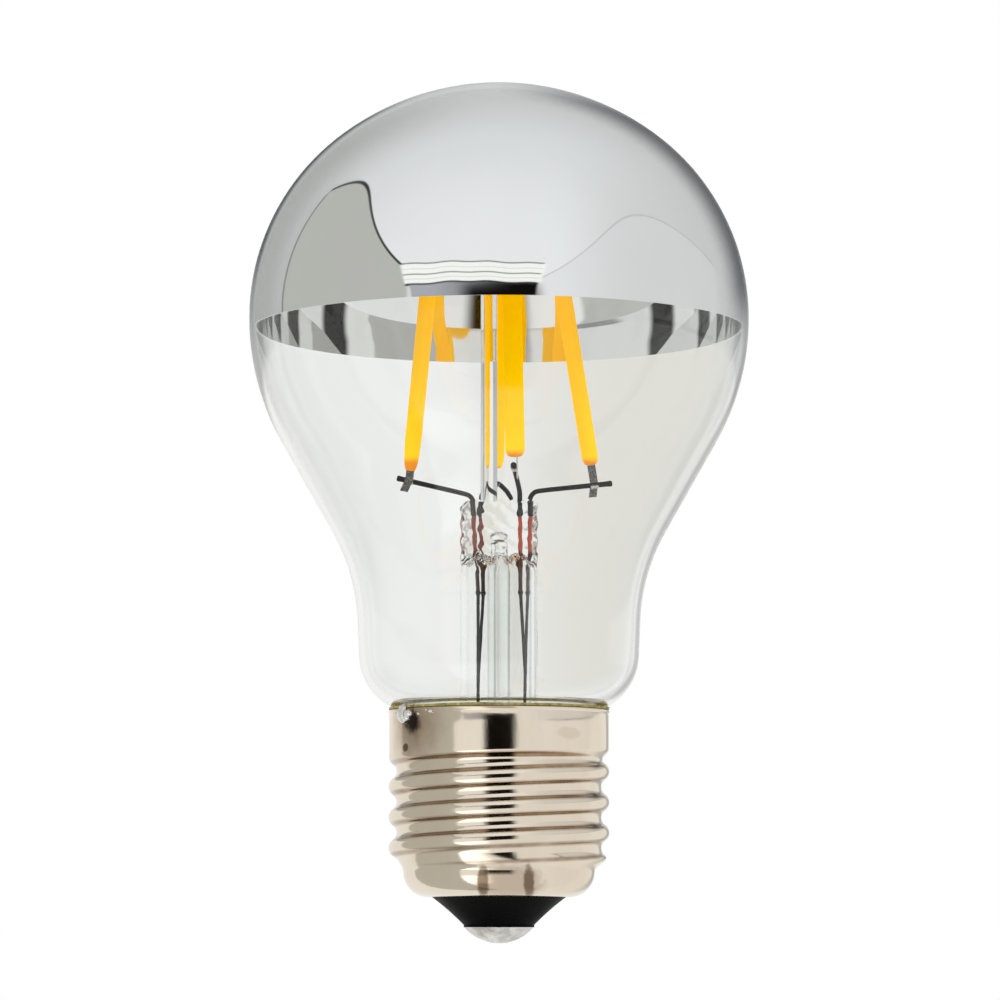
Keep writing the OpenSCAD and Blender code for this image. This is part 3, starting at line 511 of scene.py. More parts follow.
@dataclass(frozen=True)
class PhosphorFinish(Finish):
    """Phosphor coat: more orange towards the top, as painted warm light from the mirror dome, amber where it thins out
    at its two ends, and a painted glow.
    """

    amber: Colour = (0.8, 0.26, 0.006)
    upper: Colour = (1.0, 0.4, 0.0)
    ends: Point = (57.2, 90.9)
    fade: float = 1.0
    glow: float = 0.6

    def make(self) -> bpy.types.Material:
        """Builds the phosphor, by height: yellow, more orange above as painted warm light, amber ends, and an emission
        in its own colour as a painted glow.
        """
        nodes, place, shader = self.start()
        colour = self.surface(nodes, place, shader)
        height = nodes.add("ShaderNodeSeparateXYZ", {0: place}).outputs[2]
        # Painted warm light: the coat turns more orange towards the top, standing in for light reflected from the
        # mirror dome.
        colour = nodes.blend(nodes.ramp(height, self.ends[0] * MM, 82 * MM, 0.0, 0.5), colour, self.upper)
        low = nodes.ramp(height, self.ends[0] * MM, (self.ends[0] + self.fade) * MM, 1.0, 0.0)
        high = nodes.ramp(height, (self.ends[1] - self.fade) * MM, self.ends[1] * MM)
        ends = nodes.maths("ADD", low, high, clamp=True)
        colour = nodes.blend(ends, colour, self.amber)
        nodes.tree.links.new(colour, shader.inputs["Base Color"])
        # Painted glow: the coat emits its own colour, standing in for light that the dome keeps from it.
        nodes.tree.links.new(colour, shader.inputs["Emission Color"])
        shader.inputs["Emission Strength"].default_value = self.glow
        return bpy.data.materials[self.name]


@dataclass(frozen=True)
class SealFinish(Finish):
    """Copper-clad wire: red where the press's glass wets it, and burnt nearly black below."""

    burnt: Colour = (0.02, 0.006, 0.004)
    ends: Point = (46.2, 47.2)
    dull: Colour = (0.2, 0.01, 0.01)

    def make(self) -> bpy.types.Material:
        """Builds the wire's finish by height, duller on the left."""
        nodes, place, shader = self.start()
        colour = self.surface(nodes, place, shader)
        x, _, height = nodes.add("ShaderNodeSeparateXYZ", {0: place}).outputs
        cloud = self.group(nodes, MOTTLE, place, Scale=700.0, Low=-0.5 * MM, High=0.5 * MM).outputs[0]
        colour = nodes.blend(nodes.ramp(x, -1.0 * MM, 1.0 * MM, 0.7, 0.0), colour, self.dull)
        low = nodes.ramp(nodes.maths("ADD", height, cloud), self.ends[0] * MM, self.ends[1] * MM, 0.93, 0.0)
        nodes.tree.links.new(nodes.blend(low, colour, self.burnt), shader.inputs["Base Color"])
        return bpy.data.materials[self.name]


@dataclass(frozen=True)
class StainedFinish(Finish):
    """Plated sheet with a heat stain round one place, a dark burn mark in it that is partly painted shadow of the
    solder blob, painted dark reflections along the thread's flanks, and small brown marks on its front.
    """

    stain: Colour = (0.36, 0.25, 0.16)
    burn: Colour = (0.012, 0.008, 0.006)
    painted_flank_reflection: Colour = (0.27, 0.17, 0.1)
    thread: tuple[float, float, float, float] = (22.193, 3.629, 9.6, 22.6)
    centre: tuple[float, float, float] = (-10.3, -8.1, 26.0)
    reach: float = 6.5
    burn_and_shadow_reach: float = 2.0
    drip: Colour = (0.12, 0.065, 0.03)
    marks: tuple[tuple[float, float, float, float, float], ...] = (
        (1.2, 7.2, 4.8, 2.4, 0.5),
        (-11.0, 23.0, 0.4, 0.6, 0.9),
        (8.2, 24.6, 1.6, 0.9, 0.2),
        (-1.9, 7.2, 0.8, 2.4, 0.8),
        (3.5, 7.2, 0.75, 2.4, 0.8),
    )

    def make(self) -> bpy.types.Material:
        """Builds the sheet metal, with its stain and, in its middle by distance, the burn mark that is partly painted
        shadow of the solder blob.
        """
        nodes, place, shader = self.start()
        colour = self.surface(nodes, place, shader)
        centre = tuple(c * MM for c in self.centre)
        away = nodes.add("ShaderNodeVectorMath", {0: place, 1: centre}, operation="DISTANCE").outputs["Value"]
        cloud = self.group(nodes, MOTTLE, place, Scale=500.0, Low=-0.6 * MM, High=0.6 * MM).outputs[0]
        away = nodes.maths("ADD", away, cloud)
        colour = nodes.blend(nodes.ramp(away, 1.0 * MM, self.reach * MM, 0.8, 0.0), colour, self.stain)
        # Burn mark at the middle: partly real burn and partly painted shadow of the solder blob.
        colour = nodes.blend(nodes.ramp(away, 0.5 * MM, self.burn_and_shadow_reach * MM, 0.97, 0.0), colour, self.burn)
        x, y, z = nodes.add("ShaderNodeSeparateXYZ", {0: place}).outputs
        # Painted reflection: patchy dark brown bands along the thread's flanks, standing in for the dark double
        # reflections between the turns.
        crest, pitch, low, high = self.thread
        turn = nodes.maths("DIVIDE", nodes.maths("ARCTAN2", y, x), 2 * pi)
        phase = nodes.maths("SUBTRACT", nodes.maths("DIVIDE", nodes.maths("SUBTRACT", z, crest * MM), pitch * MM), turn)
        flank = nodes.maths("FRACT", nodes.maths("MULTIPLY_ADD", phase, 2.0, 1.0))
        flank = nodes.ramp(nodes.maths("ABSOLUTE", nodes.maths("SUBTRACT", flank, 0.5)), 0.03, 0.23, 0.9, 0.0)
        band = nodes.maths("MULTIPLY", nodes.ramp(z, (low - 0.6) * MM, low * MM), nodes.ramp(z, (high - 0.4) * MM, high * MM, 1.0, 0.0))
        patchy = self.group(nodes, MOTTLE, place, Scale=250.0, Low=0.55, High=1.0).outputs[0]
        flank = nodes.maths("MULTIPLY", nodes.maths("MULTIPLY", flank, band), patchy)
        colour = nodes.blend(flank, colour, self.painted_flank_reflection)
        # Brown marks at the listed places, on the front half only (y < 0): the darker brown where a mark's share is
        # over 0.7, else the stain colour.
        front = nodes.maths("LESS_THAN", y, 0.0)
        smear = self.group(nodes, MOTTLE, place, Scale=900.0, Low=0.7, High=1.3).outputs[0]
        for mark_x, mark_z, half_x, half_z, share in self.marks:
            off_x = nodes.maths("DIVIDE", nodes.maths("SUBTRACT", x, mark_x * MM), half_x * MM)
            off_z = nodes.maths("DIVIDE", nodes.maths("SUBTRACT", z, mark_z * MM), half_z * MM)
            off = nodes.maths("ADD", nodes.maths("MULTIPLY", off_x, off_x), nodes.maths("MULTIPLY", off_z, off_z))
            mask = nodes.ramp(nodes.maths("MULTIPLY", off, smear), 0.3, 1.0, share, 0.0)
            colour = nodes.blend(nodes.maths("MULTIPLY", mask, front), colour, self.drip if share > 0.7 else self.stain)
        nodes.tree.links.new(colour, shader.inputs["Base Color"])
        return bpy.data.materials[self.name]


class Finishes:
    """All finishes of the bulb, each built once."""

    def __init__(self) -> None:
        """Builds the materials."""
        self.glass = GlassFinish("Blown_glass", (0.99, 0.995, 0.993), (0.98, 0.99, 0.985), rough=(0.0, 0.0), patch=40.0, ior=1.36).make()
        self.stem = GlassFinish("Stem_glass", (0.99, 0.995, 0.99), (0.975, 0.985, 0.978), rough=(0.0, 0.0), patch=90.0, ripple=350.0, ripple_depth=0.00004, ior=1.4).make()
        self.mirror = Finish("Mirror_silver", (0.88, 0.88, 0.875), (0.86, 0.86, 0.855), rough=(0.008, 0.02), metallic=1.0, patch=60.0, grain=150.0, depth=0.000002).make()
        self.dark_wire = Finish("Dark_wire", (0.004, 0.003, 0.003), (0.012, 0.01, 0.009), rough=(0.4, 0.55), patch=900.0, gloss=0.03).make()
        self.copper = SealFinish("Copper_seal", (1.0, 0.17, 0.05), (0.75, 0.06, 0.02), rough=(0.4, 0.55), patch=900.0, gloss=0.1).make()
        self.lead = Finish("Lead_wire", (0.005, 0.004, 0.004), (0.016, 0.011, 0.01), rough=(0.4, 0.55), patch=900.0, gloss=0.03).make()
        self.phosphor = PhosphorFinish("Phosphor", (1.0, 0.63, 0.0), (0.97, 0.57, 0.0), rough=(0.38, 0.5), patch=500.0, depth=0.00002, gloss=0.02).make()
        self.ceramic = Finish("Chip_carrier", (0.85, 0.84, 0.8), (0.8, 0.79, 0.76), rough=(0.5, 0.6)).make()
        self.tab = Finish("Tab_metal", (0.75, 0.73, 0.69), (0.6, 0.57, 0.52), rough=(0.2, 0.32), metallic=1.0, patch=1200.0).make()
        self.nickel = StainedFinish("Nickel_sheet", (0.87, 0.78, 0.66), (0.79, 0.69, 0.56), rough=(0.07, 0.15), metallic=1.0, patch=150.0, grain=900.0, depth=0.00002, stretch=(1.0, 1.0, 0.35)).make()
        self.black = Finish("Black_glass", (0.002, 0.002, 0.002), (0.004, 0.004, 0.004), rough=(0.35, 0.5), patch=150.0, gloss=0.02).make()
        self.contact = Finish("Contact_metal", (0.85, 0.84, 0.81), (0.45, 0.43, 0.4), rough=(0.2, 0.4), metallic=1.0, patch=700.0, depth=0.0001).make()
        self.solder = Finish("Solder", (0.97, 0.96, 0.94), (0.88, 0.87, 0.85), rough=(0.28, 0.42), metallic=1.0, patch=900.0, depth=0.00008).make()
        self.cement = Finish("Olive_cement", (0.5, 0.42, 0.13), (0.13, 0.11, 0.03), rough=(0.75, 0.9), patch=1100.0, grain=1800.0, depth=0.0004).make()
        self.board = Finish("Laminate", (0.02, 0.12, 0.035), (0.015, 0.09, 0.03), rough=(0.35, 0.45)).make()
        self.package = Finish("Moulded_package", (0.02, 0.02, 0.021), (0.03, 0.03, 0.03), rough=(0.5, 0.6)).make()
        self.sleeve = Finish("Can_sleeve", (0.02, 0.025, 0.07), (0.03, 0.035, 0.09), rough=(0.25, 0.35)).make()
        self.resistor = Finish("Resistor_lacquer", (0.4, 0.34, 0.2), (0.34, 0.28, 0.16), rough=(0.4, 0.5)).make()


# ---------------------------------------------------------------- the blown glass and its mirror


@dataclass
class Envelope:
    """The blown bulb and the silver skin inside its dome."""

    bulb_r: float = 30.0
    crown_extra: float = 1.5
    shoulder_less: float = 2.66
    flank_angle: float = 29.5
    hollow_r: float = 23.4
    neck_r: float = 16.7
    neck_len: float = 4.45
    neck_taper: float = 2.5
    bulge_r: float = 7.0
    fillet_r: float = 1.6
    wall: float = 0.7
    rim_z: float = 27.7
    seal_z: float = 20.7
    seal_neck_r: float = 11.35
    rim_reach: float = 12.8
    rim_gap: float = 0.35
    fit: float = 0.02
    mirror_t: float = 0.12
    mirror_overrun: float = 0.7
    sag: Point = (0.3, 1.15)
    facets: int = 160

    def centres(self) -> dict[str, Vector]:
        """Centres of the outline's arcs, from the cap up, as the part has them."""
        taper, flank = self.neck_taper, self.flank_angle
        inner = self.rim_reach - self.neck_r + self.bulge_r * cos(radians(taper))
        bulge = Vector((self.neck_r - self.bulge_r * cos(radians(taper)), self.rim_z + sqrt((self.bulge_r + self.rim_gap) ** 2 - inner**2)))
        neck_top = bulge + self.bulge_r * polar(-taper) + self.neck_len * Vector((tan(radians(taper)), 1))
        hollow = neck_top + self.hollow_r * polar(-taper)
        hollow_top = hollow - self.hollow_r * polar(-flank)
        run = (self.bulb_r * cos(radians(flank)) - hollow_top.x) / sin(radians(flank))
        ball = Vector((0, hollow_top.y + run * cos(radians(flank)) + self.bulb_r * sin(radians(flank))))
        shoulder_r, crown_r = self.bulb_r - self.shoulder_less, self.bulb_r + self.crown_extra
        crown = ball - Vector((0, sqrt((crown_r - shoulder_r) ** 2 - self.shoulder_less**2)))
        reach = self.seal_neck_r + self.fillet_r
        fillet = Vector((reach, bulge.y - sqrt((self.bulge_r + self.fillet_r) ** 2 - (reach - bulge.x) ** 2)))
        return {"bulge": bulge, "hollow": hollow, "ball": ball, "shoulder": ball + Vector((self.shoulder_less, 0)), "crown": crown, "fillet": fillet}

    def line(self, inset: float) -> list[Point]:
        """Outline of the glass from the crown down to the seal neck's end.

        Args:
            inset: Distance inside the outer face.

        Returns:
            The points, as radius and height.
        """
        c = self.centres()
        join = degrees(atan2(c["shoulder"].y - c["crown"].y, c["shoulder"].x))
        turn = degrees(atan2(c["fillet"].y - c["bulge"].y, c["fillet"].x - c["bulge"].x))
        crown_r, shoulder_r = self.bulb_r + self.crown_extra, self.bulb_r - self.shoulder_less
        points = arc(c["crown"], crown_r - inset, 90, join, 2.5)
        points += arc(c["shoulder"], shoulder_r - inset, join, 0, 2.5)[1:]
        points += arc(c["ball"], self.bulb_r - inset, 0, -self.flank_angle, 2.5)[1:]
        low, high = points[-1], arc(c["hollow"], self.hollow_r + inset, 180 - self.flank_angle, 180, 2.5)[0]
        points += [(mix(low[0], high[0], i / 6), mix(low[1], high[1], i / 6)) for i in range(1, 6)]
        points += arc(c["hollow"], self.hollow_r + inset, 180 - self.flank_angle, 180 - self.neck_taper, 2.5)
        points += arc(c["bulge"], self.bulge_r - inset, -self.neck_taper, turn, 4.0)
        points += arc(c["fillet"], self.fillet_r + inset, 180 + turn, 180, 10.0)[1:]
        return points + [(self.seal_neck_r - inset, self.seal_z)]

    def build(self, finishes: Finishes) -> None:
        """Models the glass and its mirror.

        Args:
            finishes: The bulb's finishes.
        """
        outer, inner = self.line(0.0), self.line(self.wall)
        glass = lathe(outer + inner[::-1], self.facets)
        mount(glass, "blown_bulb", "clear_glass", finishes.glass, "glass_bulb")

        edge = self.centres()["ball"].y - self.mirror_overrun
        near = self.skin(self.wall + self.fit, edge)
        far = self.skin(self.wall + self.fit + self.mirror_t, edge)
        mirror = lathe(near + far[::-1], self.facets)
        reshape(mirror, self.sagged)
        mount(mirror, "silver_skin", "mirror", finishes.mirror, "mirror_coating")

    def sagged(self, rows: np.ndarray) -> np.ndarray:
        """Lets the mirror's edge hang a little, more at the back, where the silver ran further down the glass."""
        x, y, z = rows.T
        middle = self.centres()["ball"].y
        hang = np.where(z < middle - self.mirror_overrun + 0.01, mix(self.sag[0], self.sag[1], (y / self.bulb_r + 1) / 2), 0.0)
        radius = np.hypot(x, y)
        ball = np.sqrt(radius**2 + (z - middle) ** 2)
        scale = np.where(hang > 0, np.sqrt(np.maximum(ball**2 - (z - hang - middle) ** 2, 0)) / np.maximum(radius, 1.0), 1.0)
        return np.column_stack((x * scale, y * scale, z - hang))

    def skin(self, inset: float, edge: float) -> list[Point]:
        """Part of the outline above the mirror's edge.

        Args:
            inset: Distance inside the outer face.
            edge: Height of the mirror's edge.

        Returns:
            The points, as radius and height.
        """
        points = [p for p in self.line(inset) if p[1] > edge + 0.05]
        return points + [(sqrt((self.bulb_r - inset) ** 2 - self.mirror_overrun**2), edge)]


# ---------------------------------------------------------------- the screw cap


@dataclass
class ScrewCap:
    """Nickel-plated shell with its rolled thread, black glass cone, contact, solder and cement.

    The thread's outline is equal arcs joined at the middle of each flank, as the standard draws it.
    """

    skirt_r: float = 13.1
    skirt_z: float = 23.1
    rim_z: float = 27.7
    sheet_t: float = 0.3
    lip_out: float = 0.1
    lip_h: float = 0.5
    root_r: float = 12.2
    crest_r: float = 13.15
    pitch: float = 3.629
    thread_z: float = 8.5
    base_r: float = 11.4
    base_round: float = 3.0
    floor_z: float = 5.5
    floor_hole_r: float = 8.0
    fade_in: float = 2.0
    fade_out: float = 1.6
    rows: int = 150
    facets: int = 168

    def shell_line(self) -> list[Point]:
        """Outer line of the shell before its thread is rolled, from the floor's hole to the lip."""
        centre = (self.base_r - self.base_round, self.floor_z + self.base_round)
        points = [(self.floor_hole_r, self.floor_z)] + arc(centre, self.base_round, -90, 0, 9.0)
        band = self.skirt_z - self.thread_z
        points += [(self.base_r, self.thread_z + band * i / self.rows) for i in range(1, self.rows)]
        foot = self.rim_z - self.lip_h
        points += [(self.skirt_r, self.skirt_z), (self.skirt_r, mix(self.skirt_z, foot, 0.5)), (self.skirt_r, foot - 0.1)]
        points += [(self.skirt_r - 0.05, foot), (self.skirt_r - 0.02, foot + 0.06)]
        return points + arc((self.skirt_r - 0.12, foot + 0.27), 0.22, -50, 90, 20.0)

    def rolled(self, rows: np.ndarray) -> np.ndarray:
        """Rolls the thread into the shell's plain band.

        Args:
            rows: Vertices in millimetres.

        Returns:
            The vertices with their new radius.
        """
        z, turn = rows[:, 2], np.degrees(np.arctan2(rows[:, 1], rows[:, 0]))
        phase = (z - self.skirt_z + self.pitch / 4) / self.pitch - (turn - 180) / 360
        half, depth = self.pitch / 2, self.crest_r - self.root_r
        bend = (half**2 + depth**2) / (4 * depth)
        fall = np.abs(phase - np.round(phase)) * self.pitch
        drop = bend - np.sqrt(bend**2 - np.minimum(fall, half - fall) ** 2)
        wave = np.where(fall < half / 2, 1 - drop / depth, drop / depth)
        rise = np.clip((z - self.thread_z) / self.fade_in, 0, 1)
        rise = rise * rise * (3 - 2 * rise)
        low, high = mix(self.base_r, self.root_r, rise), mix(self.base_r, self.crest_r, rise)
        radius = low + (high - low) * wave
        end = np.clip((z - self.skirt_z + self.fade_out) / self.fade_out, 0, 1)
        radius += (self.skirt_r - radius) * end * end * (3 - 2 * end)
        band = (z > self.thread_z + 0.001) & (z < self.skirt_z - 0.001)
        scale = np.where(band, radius / np.maximum(np.hypot(rows[:, 0], rows[:, 1]), 1e-6), 1.0)
        return np.column_stack((rows[:, 0] * scale, rows[:, 1] * scale, z))

    def build(self, finishes: Finishes) -> None:
        """Models the shell and dresses the rest of the cap.

        Args:
            finishes: The bulb's finishes.
        """
        shell = lathe(self.shell_line(), self.facets, closed=False)
        reshape(shell, self.rolled)
        apply(shell, "SOLIDIFY", thickness=self.sheet_t * MM, offset=-1.0, use_even_offset=True)
        pick(shell)
        bpy.ops.object.shade_smooth_by_angle(angle=radians(50))
        mount(shell, "rolled_shell", "nickel", finishes.nickel, "cap_shell")
        for node, finish, slot in (
            ("cap_insulator", finishes.black, "black_glass"),
            ("centre_contact", finishes.contact, "contact_metal"),
            ("contact_solder", finishes.solder, "solder"),
        ):
            mount(rounded_copy(node, 0, 0.0), f"{node}_dressed", slot, finish, node)
        solder = rounded_copy("side_solder", 1, 0.03)
        reshape(solder, self.lumped)
        self.splash(solder)
        mount(solder, "side_solder_dressed", "solder", finishes.solder, "side_solder")
        cement = rounded_copy("capping_cement", 0, 0.0)
        reshape(cement, self.welled)
        mount(cement, "capping_cement_dressed", "cement", finishes.cement, "capping_cement")

    def welled(self, rows: np.ndarray) -> np.ndarray:
        """Lets the cement well up unevenly over the rim."""
        turn = np.arctan2(rows[:, 1], rows[:, 0])
        wave = 0.5 + 0.25 * np.sin(3 * turn + 0.6) + 0.15 * np.sin(7 * turn + 2.0) + 0.1 * np.sin(17 * turn)
        free = np.clip((rows[:, 2] - self.rim_z - 0.1) / 0.2, 0, 1)
        outer = free * np.clip((np.hypot(rows[:, 0], rows[:, 1]) - 12.6) / 0.3, 0, 1)
        out = 1 + outer * 0.012 * wave
        return np.column_stack((rows[:, 0] * out, rows[:, 1] * out, rows[:, 2] + outer * (0.12 * wave - 0.1)))

    def lumped(self, rows: np.ndarray) -> np.ndarray:
        """Gives the side solder an uneven skin where it stands clear of the skirt."""
        x, y, z = rows.T
        clear = np.clip(np.hypot(x, y) - self.skirt_r - 0.1, 0, 0.6)
        bump = 1 + 0.02 * clear * (np.sin(3.1 * z) + np.sin(4.7 * x + 2.9 * y))
        return np.column_stack((x * bump, y * bump, z))

    def splash(self, solder: bpy.types.Object) -> None:
        """Adds the small splashes beside the side solder."""
        spots = []
        for turn, height, size in ((232.5, 27.15, 0.3), (229.5, 27.3, 0.14), (224.0, 26.9, 0.2), (216.6, 27.0, 0.62), (214.5, 26.5, 0.55)):
            bpy.ops.mesh.primitive_uv_sphere_add(segments=20, ring_count=10, radius=size * MM)
            spot = active()
            out = polar(turn) * (self.skirt_r + 0.05)
            reshape(spot, lambda rows: rows * (1.0, 1.0, 0.75) + (out.x, out.y, height))
            spots.append(spot)
        bpy.ops.object.select_all(action="DESELECT")
        for spot in spots:
            spot.select_set(True)
        solder.select_set(True)
        bpy.context.view_layer.objects.active = solder
        bpy.ops.object.join()
        pick(solder)
        close_up(60.0)


# ---------------------------------------------------------------- the stem, wires and filaments


@dataclass
class Stem:
    """One fused piece of glass: flared tube pinched to a press, exhaust tube with its blowhole, and support rod."""

    tube_r: float = 4.6
    wall: float = 0.65
    rim_r: float = 11.35
    rim_z: float = 20.7
    bend_r: float = 6.05
    press_z: float = 52.8
    press_half: float = 1.7
    pinch_z: Point = (43.4, 46.6)
    cavity_z: float = 46.3
    exhaust_r: float = 1.45
    bore_r: float = 0.95
    tip_z: float = 15.85
    blow_z: float = 48.5
    blow_half: tuple[float, float, float] = (1.05, 1.0, 0.62)
    rod_r: float = 1.0
    rod_x: float = -1.2
    bead_r: float = 1.8
    bead_z: float = 93.3

    def tube_line(self) -> list[Point]:
        """Outline of the flare, the tube and the solid press, round which it is closed."""
        centre = (self.tube_r + self.bend_r, self.rim_z + self.bend_r)
        outer = [(self.rim_r, self.rim_z)] + arc(centre, self.bend_r, 270, 180, 9.0)
        levels = [z for z in np.arange(27.5, self.press_z - 0.6, 0.25)]
        outer += [(self.tube_r, z) for z in levels]
        outer += arc((self.tube_r - 0.6, self.press_z - 0.6), 0.6, 0, 90, 15.0)
        outer += [(r, self.press_z) for r in (3.2, 2.4, 1.6, 0.8, 0.0)]
        inner_r = self.tube_r - self.wall
        inner = [(0.0, self.cavity_z), (1.4, self.cavity_z - 0.05), (2.6, self.cavity_z - 0.25), (inner_r - 0.4, self.cavity_z - 0.7)]
        inner += [(inner_r, z) for z in np.arange(self.cavity_z - 1.3, 27.0, -0.5)]
        inner += arc(centre, self.bend_r + self.wall, 180, 270, 9.0) + [(self.rim_r, self.rim_z - self.wall)]
        return inner + outer

    def pinched(self, rows: np.ndarray) -> np.ndarray:
        """Flattens the tube's upper end to the press and leaves its glass uneven, as the pinch does."""
        x, y, z = rows.T
        share = np.clip((z - self.pinch_z[0]) / (self.pinch_z[1] - self.pinch_z[0]), 0, 1)
        share = share * share * (3 - 2 * share)
        y = y * (1 + (self.press_half / self.tube_r - 1) * share)
        rough = np.clip((z - 44.0) / 2.0, 0, 1)
        y = y + rough * 0.13 * np.sin(2.3 * z + 1.1 * x) * np.sin(1.7 * x + 0.8 * z) * np.sign(y)
        y = y + rough * 0.07 * np.sin(6.1 * z - 2.2 * x) * np.sin(4.3 * x + 2.0) * np.sign(y)
        x = x + rough * 0.1 * np.sin(2.9 * z + 0.7) * np.sign(x)
        z = z + np.clip((z - 50.5) / 1.5, 0, 1) * (0.22 * np.sin(1.9 * x + 0.9) + 0.12 * np.sin(4.4 * x))
        sag = np.exp(-(((z - self.cavity_z + 0.4) / 0.9) ** 2))
        z = z + sag * (0.3 * np.sin(2.6 * x + 1.3) + 0.2 * np.sin(5.7 * x + 1.9 * y))
        return np.column_stack((x, y, z))

    @staticmethod
    def combine(piece: bpy.types.Object, other: bpy.types.Object, how: str) -> None:
        """Joins another piece to a piece, or cuts it away, and removes it."""
        apply(piece, "BOOLEAN", object=other, operation=how, solver="MANIFOLD")
        bpy.data.objects.remove(other, do_unlink=True)

    def build(self, finishes: Finishes) -> None:
        """Models the stem as one piece of glass.

        Args:
            finishes: The bulb's finishes.
        """
        stem = lathe(self.tube_line(), 96)
        reshape(stem, self.pinched)
        middle = self.tip_z + self.exhaust_r
        line = [(0.0, self.tip_z)] + arc((0, middle), self.exhaust_r, -90, 0, 15.0)[1:]
        line += [(self.exhaust_r, z) for z in (30.0, 45.0, self.cavity_z + 0.6)]
        self.combine(stem, lathe(line + [(0.0, self.cavity_z + 0.9)], 40), "UNION")
        rod = lathe(
            [(0.0, self.press_z - 2.0), (self.rod_r, self.press_z - 1.6), (self.rod_r, self.press_z + 0.2), (self.rod_r, 70.0)]
            + [(self.rod_r, self.bead_z - 1.6)]
            + arc((0, self.bead_z), self.bead_r, -56, 90, 9.0)[:-1]
            + [(0.0, self.bead_z + self.bead_r)],
            40,
        )
        reshape(rod, lambda rows: rows + (self.rod_x, 0.0, 0.0))
        self.combine(stem, rod, "UNION")
        bore = lathe([(0.0, middle), (self.bore_r, middle + 0.4), (self.bore_r, 40.0), (self.bore_r, self.blow_z - 0.7), (0.0, self.blow_z - 0.3)], 32)
        self.combine(stem, bore, "DIFFERENCE")
        bpy.ops.mesh.primitive_uv_sphere_add(segments=40, ring_count=20, radius=MM)
        hole = active()
        reshape(hole, lambda rows: rows * self.blow_half + (0.0, 0.35 - self.press_half, self.blow_z))
        self.combine(stem, hole, "DIFFERENCE")
        pick(stem)
        close_up(32.0)
        mount(stem, "fused_stem", "stem_glass", finishes.stem, "stem_flare", "exhaust_tube", "support_rod")


@dataclass
class Cage:
    """The four filaments with their tabs, and the wires that carry them."""

    swell: float = 0.035
    seal_swell: float = 0.06
    press_z: float = 52.806
    foot_ring_r: float = 10.8
    head_ring_r: float = 6.0
    foot_rise: float = 2.4
    filament_l: float = 38.0
    tab_bare: float = 2.5
    coat_l: float = 33.0
    coat_axis: float = 0.16
    coat_half: Point = (0.99, 1.17)
    corner_out: float = 1.03
    azimuth: tuple[float, ...] = (180.6, -80.0, 0.0, 92.2)
    foot_out: tuple[float, ...] = (-0.05, -0.6, 0.65, -1.9)
    foot_up: tuple[float, ...] = (0.05, 0.75, -0.45, 0.55)
    head_out: tuple[float, ...] = (1.1, -0.2, -0.6, -0.2)
    corner_up: tuple[float, ...] = (0.7, 1.0, 1.2, 0.9)
    seal_top: tuple[Point, ...] = ((-2.95, 0.0), (2.45, -0.55), (3.6, 0.0), (-2.1, 1.1))
    taper: tuple[float, ...] = (4.4, 1.1, 1.2, 2.0)
    longer: tuple[float, ...] = (1.3, 1.2, 0.0, 0.6)

    def frame_of(self, side: Side) -> Matrix:
        """Frame of a filament: at its foot, X along the wire that it hooks on and Z along the filament."""
        i = side.value
        foot_r, head_r = self.foot_ring_r + self.foot_out[i], self.head_ring_r + self.head_out[i]
        out = polar(self.azimuth[i])
        foot = Vector((*(out * foot_r), self.press_z + self.foot_rise + self.foot_up[i]))
        head = Vector((*(out * head_r), foot.z + sqrt(self.filament_l**2 - (foot_r - head_r) ** 2)))
        top = self.seal_top[i]
        corner = Vector((top[0] * self.corner_out, top[1] * self.corner_out, self.press_z + self.corner_up[i]))
        along, wire = (head - foot).normalized(), (foot - corner).normalized()
        across = along.cross(wire).normalized()
        turned = Matrix((across.cross(along), across, along)).transposed().to_4x4()
        return Matrix.Translation(foot * MM) @ turned

    def coat(self, side: Side) -> bpy.types.Object:
        """Spins a filament's phosphor coat, flattens it and puts it on its strip."""
        reach, blunt, tip = self.taper[side.value], self.taper[1], 0.5
        length = self.coat_l + self.longer[side.value]
        line: list[Point] = [(0.0, 0.0)]
        for share in np.linspace(0.0, 1.0, 12):
            line.append((mix(tip, 1.0, sqrt(1 - (1 - share) ** 2)), share * reach))
        for height in np.linspace(reach, length - blunt, 24)[1:]:
            line.append((1.0 + 0.012 * sin(height * 1.7 + side.value), height))
        for share in np.linspace(1.0, 0.0, 10)[1:]:
            line.append((mix(tip, 1.0, sqrt(1 - (1 - share) ** 2)), length - share * blunt))
        line.append((0.0, length))
        piece = lathe(line, 36, smooth_angle=60.0)
        wide = np.array((*self.coat_half, 1.0))
        reshape(piece, lambda rows: rows * wide + (0.0, self.coat_axis, self.tab_bare + self.coat_l - length))
        set_down(piece, self.frame_of(side))
        return piece

    def build(self, finishes: Finishes) -> None:
        """Models the coats, rounds the wires off and dresses the rest.

        Args:
            finishes: The bulb's finishes.
        """
        for side in Side:
            mount(self.coat(side), f"coat_{side.word}", "phosphor", finishes.phosphor, f"filament_{side.word}")
            for stem, slot, finish, levels, swell in (
                ("bracket_wire", "dark_wire", finishes.dark_wire, 1, self.swell),
                ("lead_wire", "lead_wire", finishes.lead, 1, self.swell),
                ("seal_wire", "copper_wire", finishes.copper, 0, self.seal_swell),
            ):
                node = f"{stem}_{side.word}"
                mount(rounded_copy(node, levels, swell), f"{node}_drawn", slot, finish, node)
            for stem, slot, finish in (
                ("lower_tab", "tab_metal", finishes.tab),
                ("upper_tab", "tab_metal", finishes.tab),
                ("chip_strip", "ceramic", finishes.ceramic),
            ):
                node = f"{stem}_{side.word}"
                mount(rounded_copy(node, 0, 0.0), f"{node}_dressed", slot, finish, node)
        for node in ("top_wire_side", "top_wire_depth"):
            mount(rounded_copy(node, 1, self.swell), f"{node}_drawn", "dark_wire", finishes.dark_wire, node)


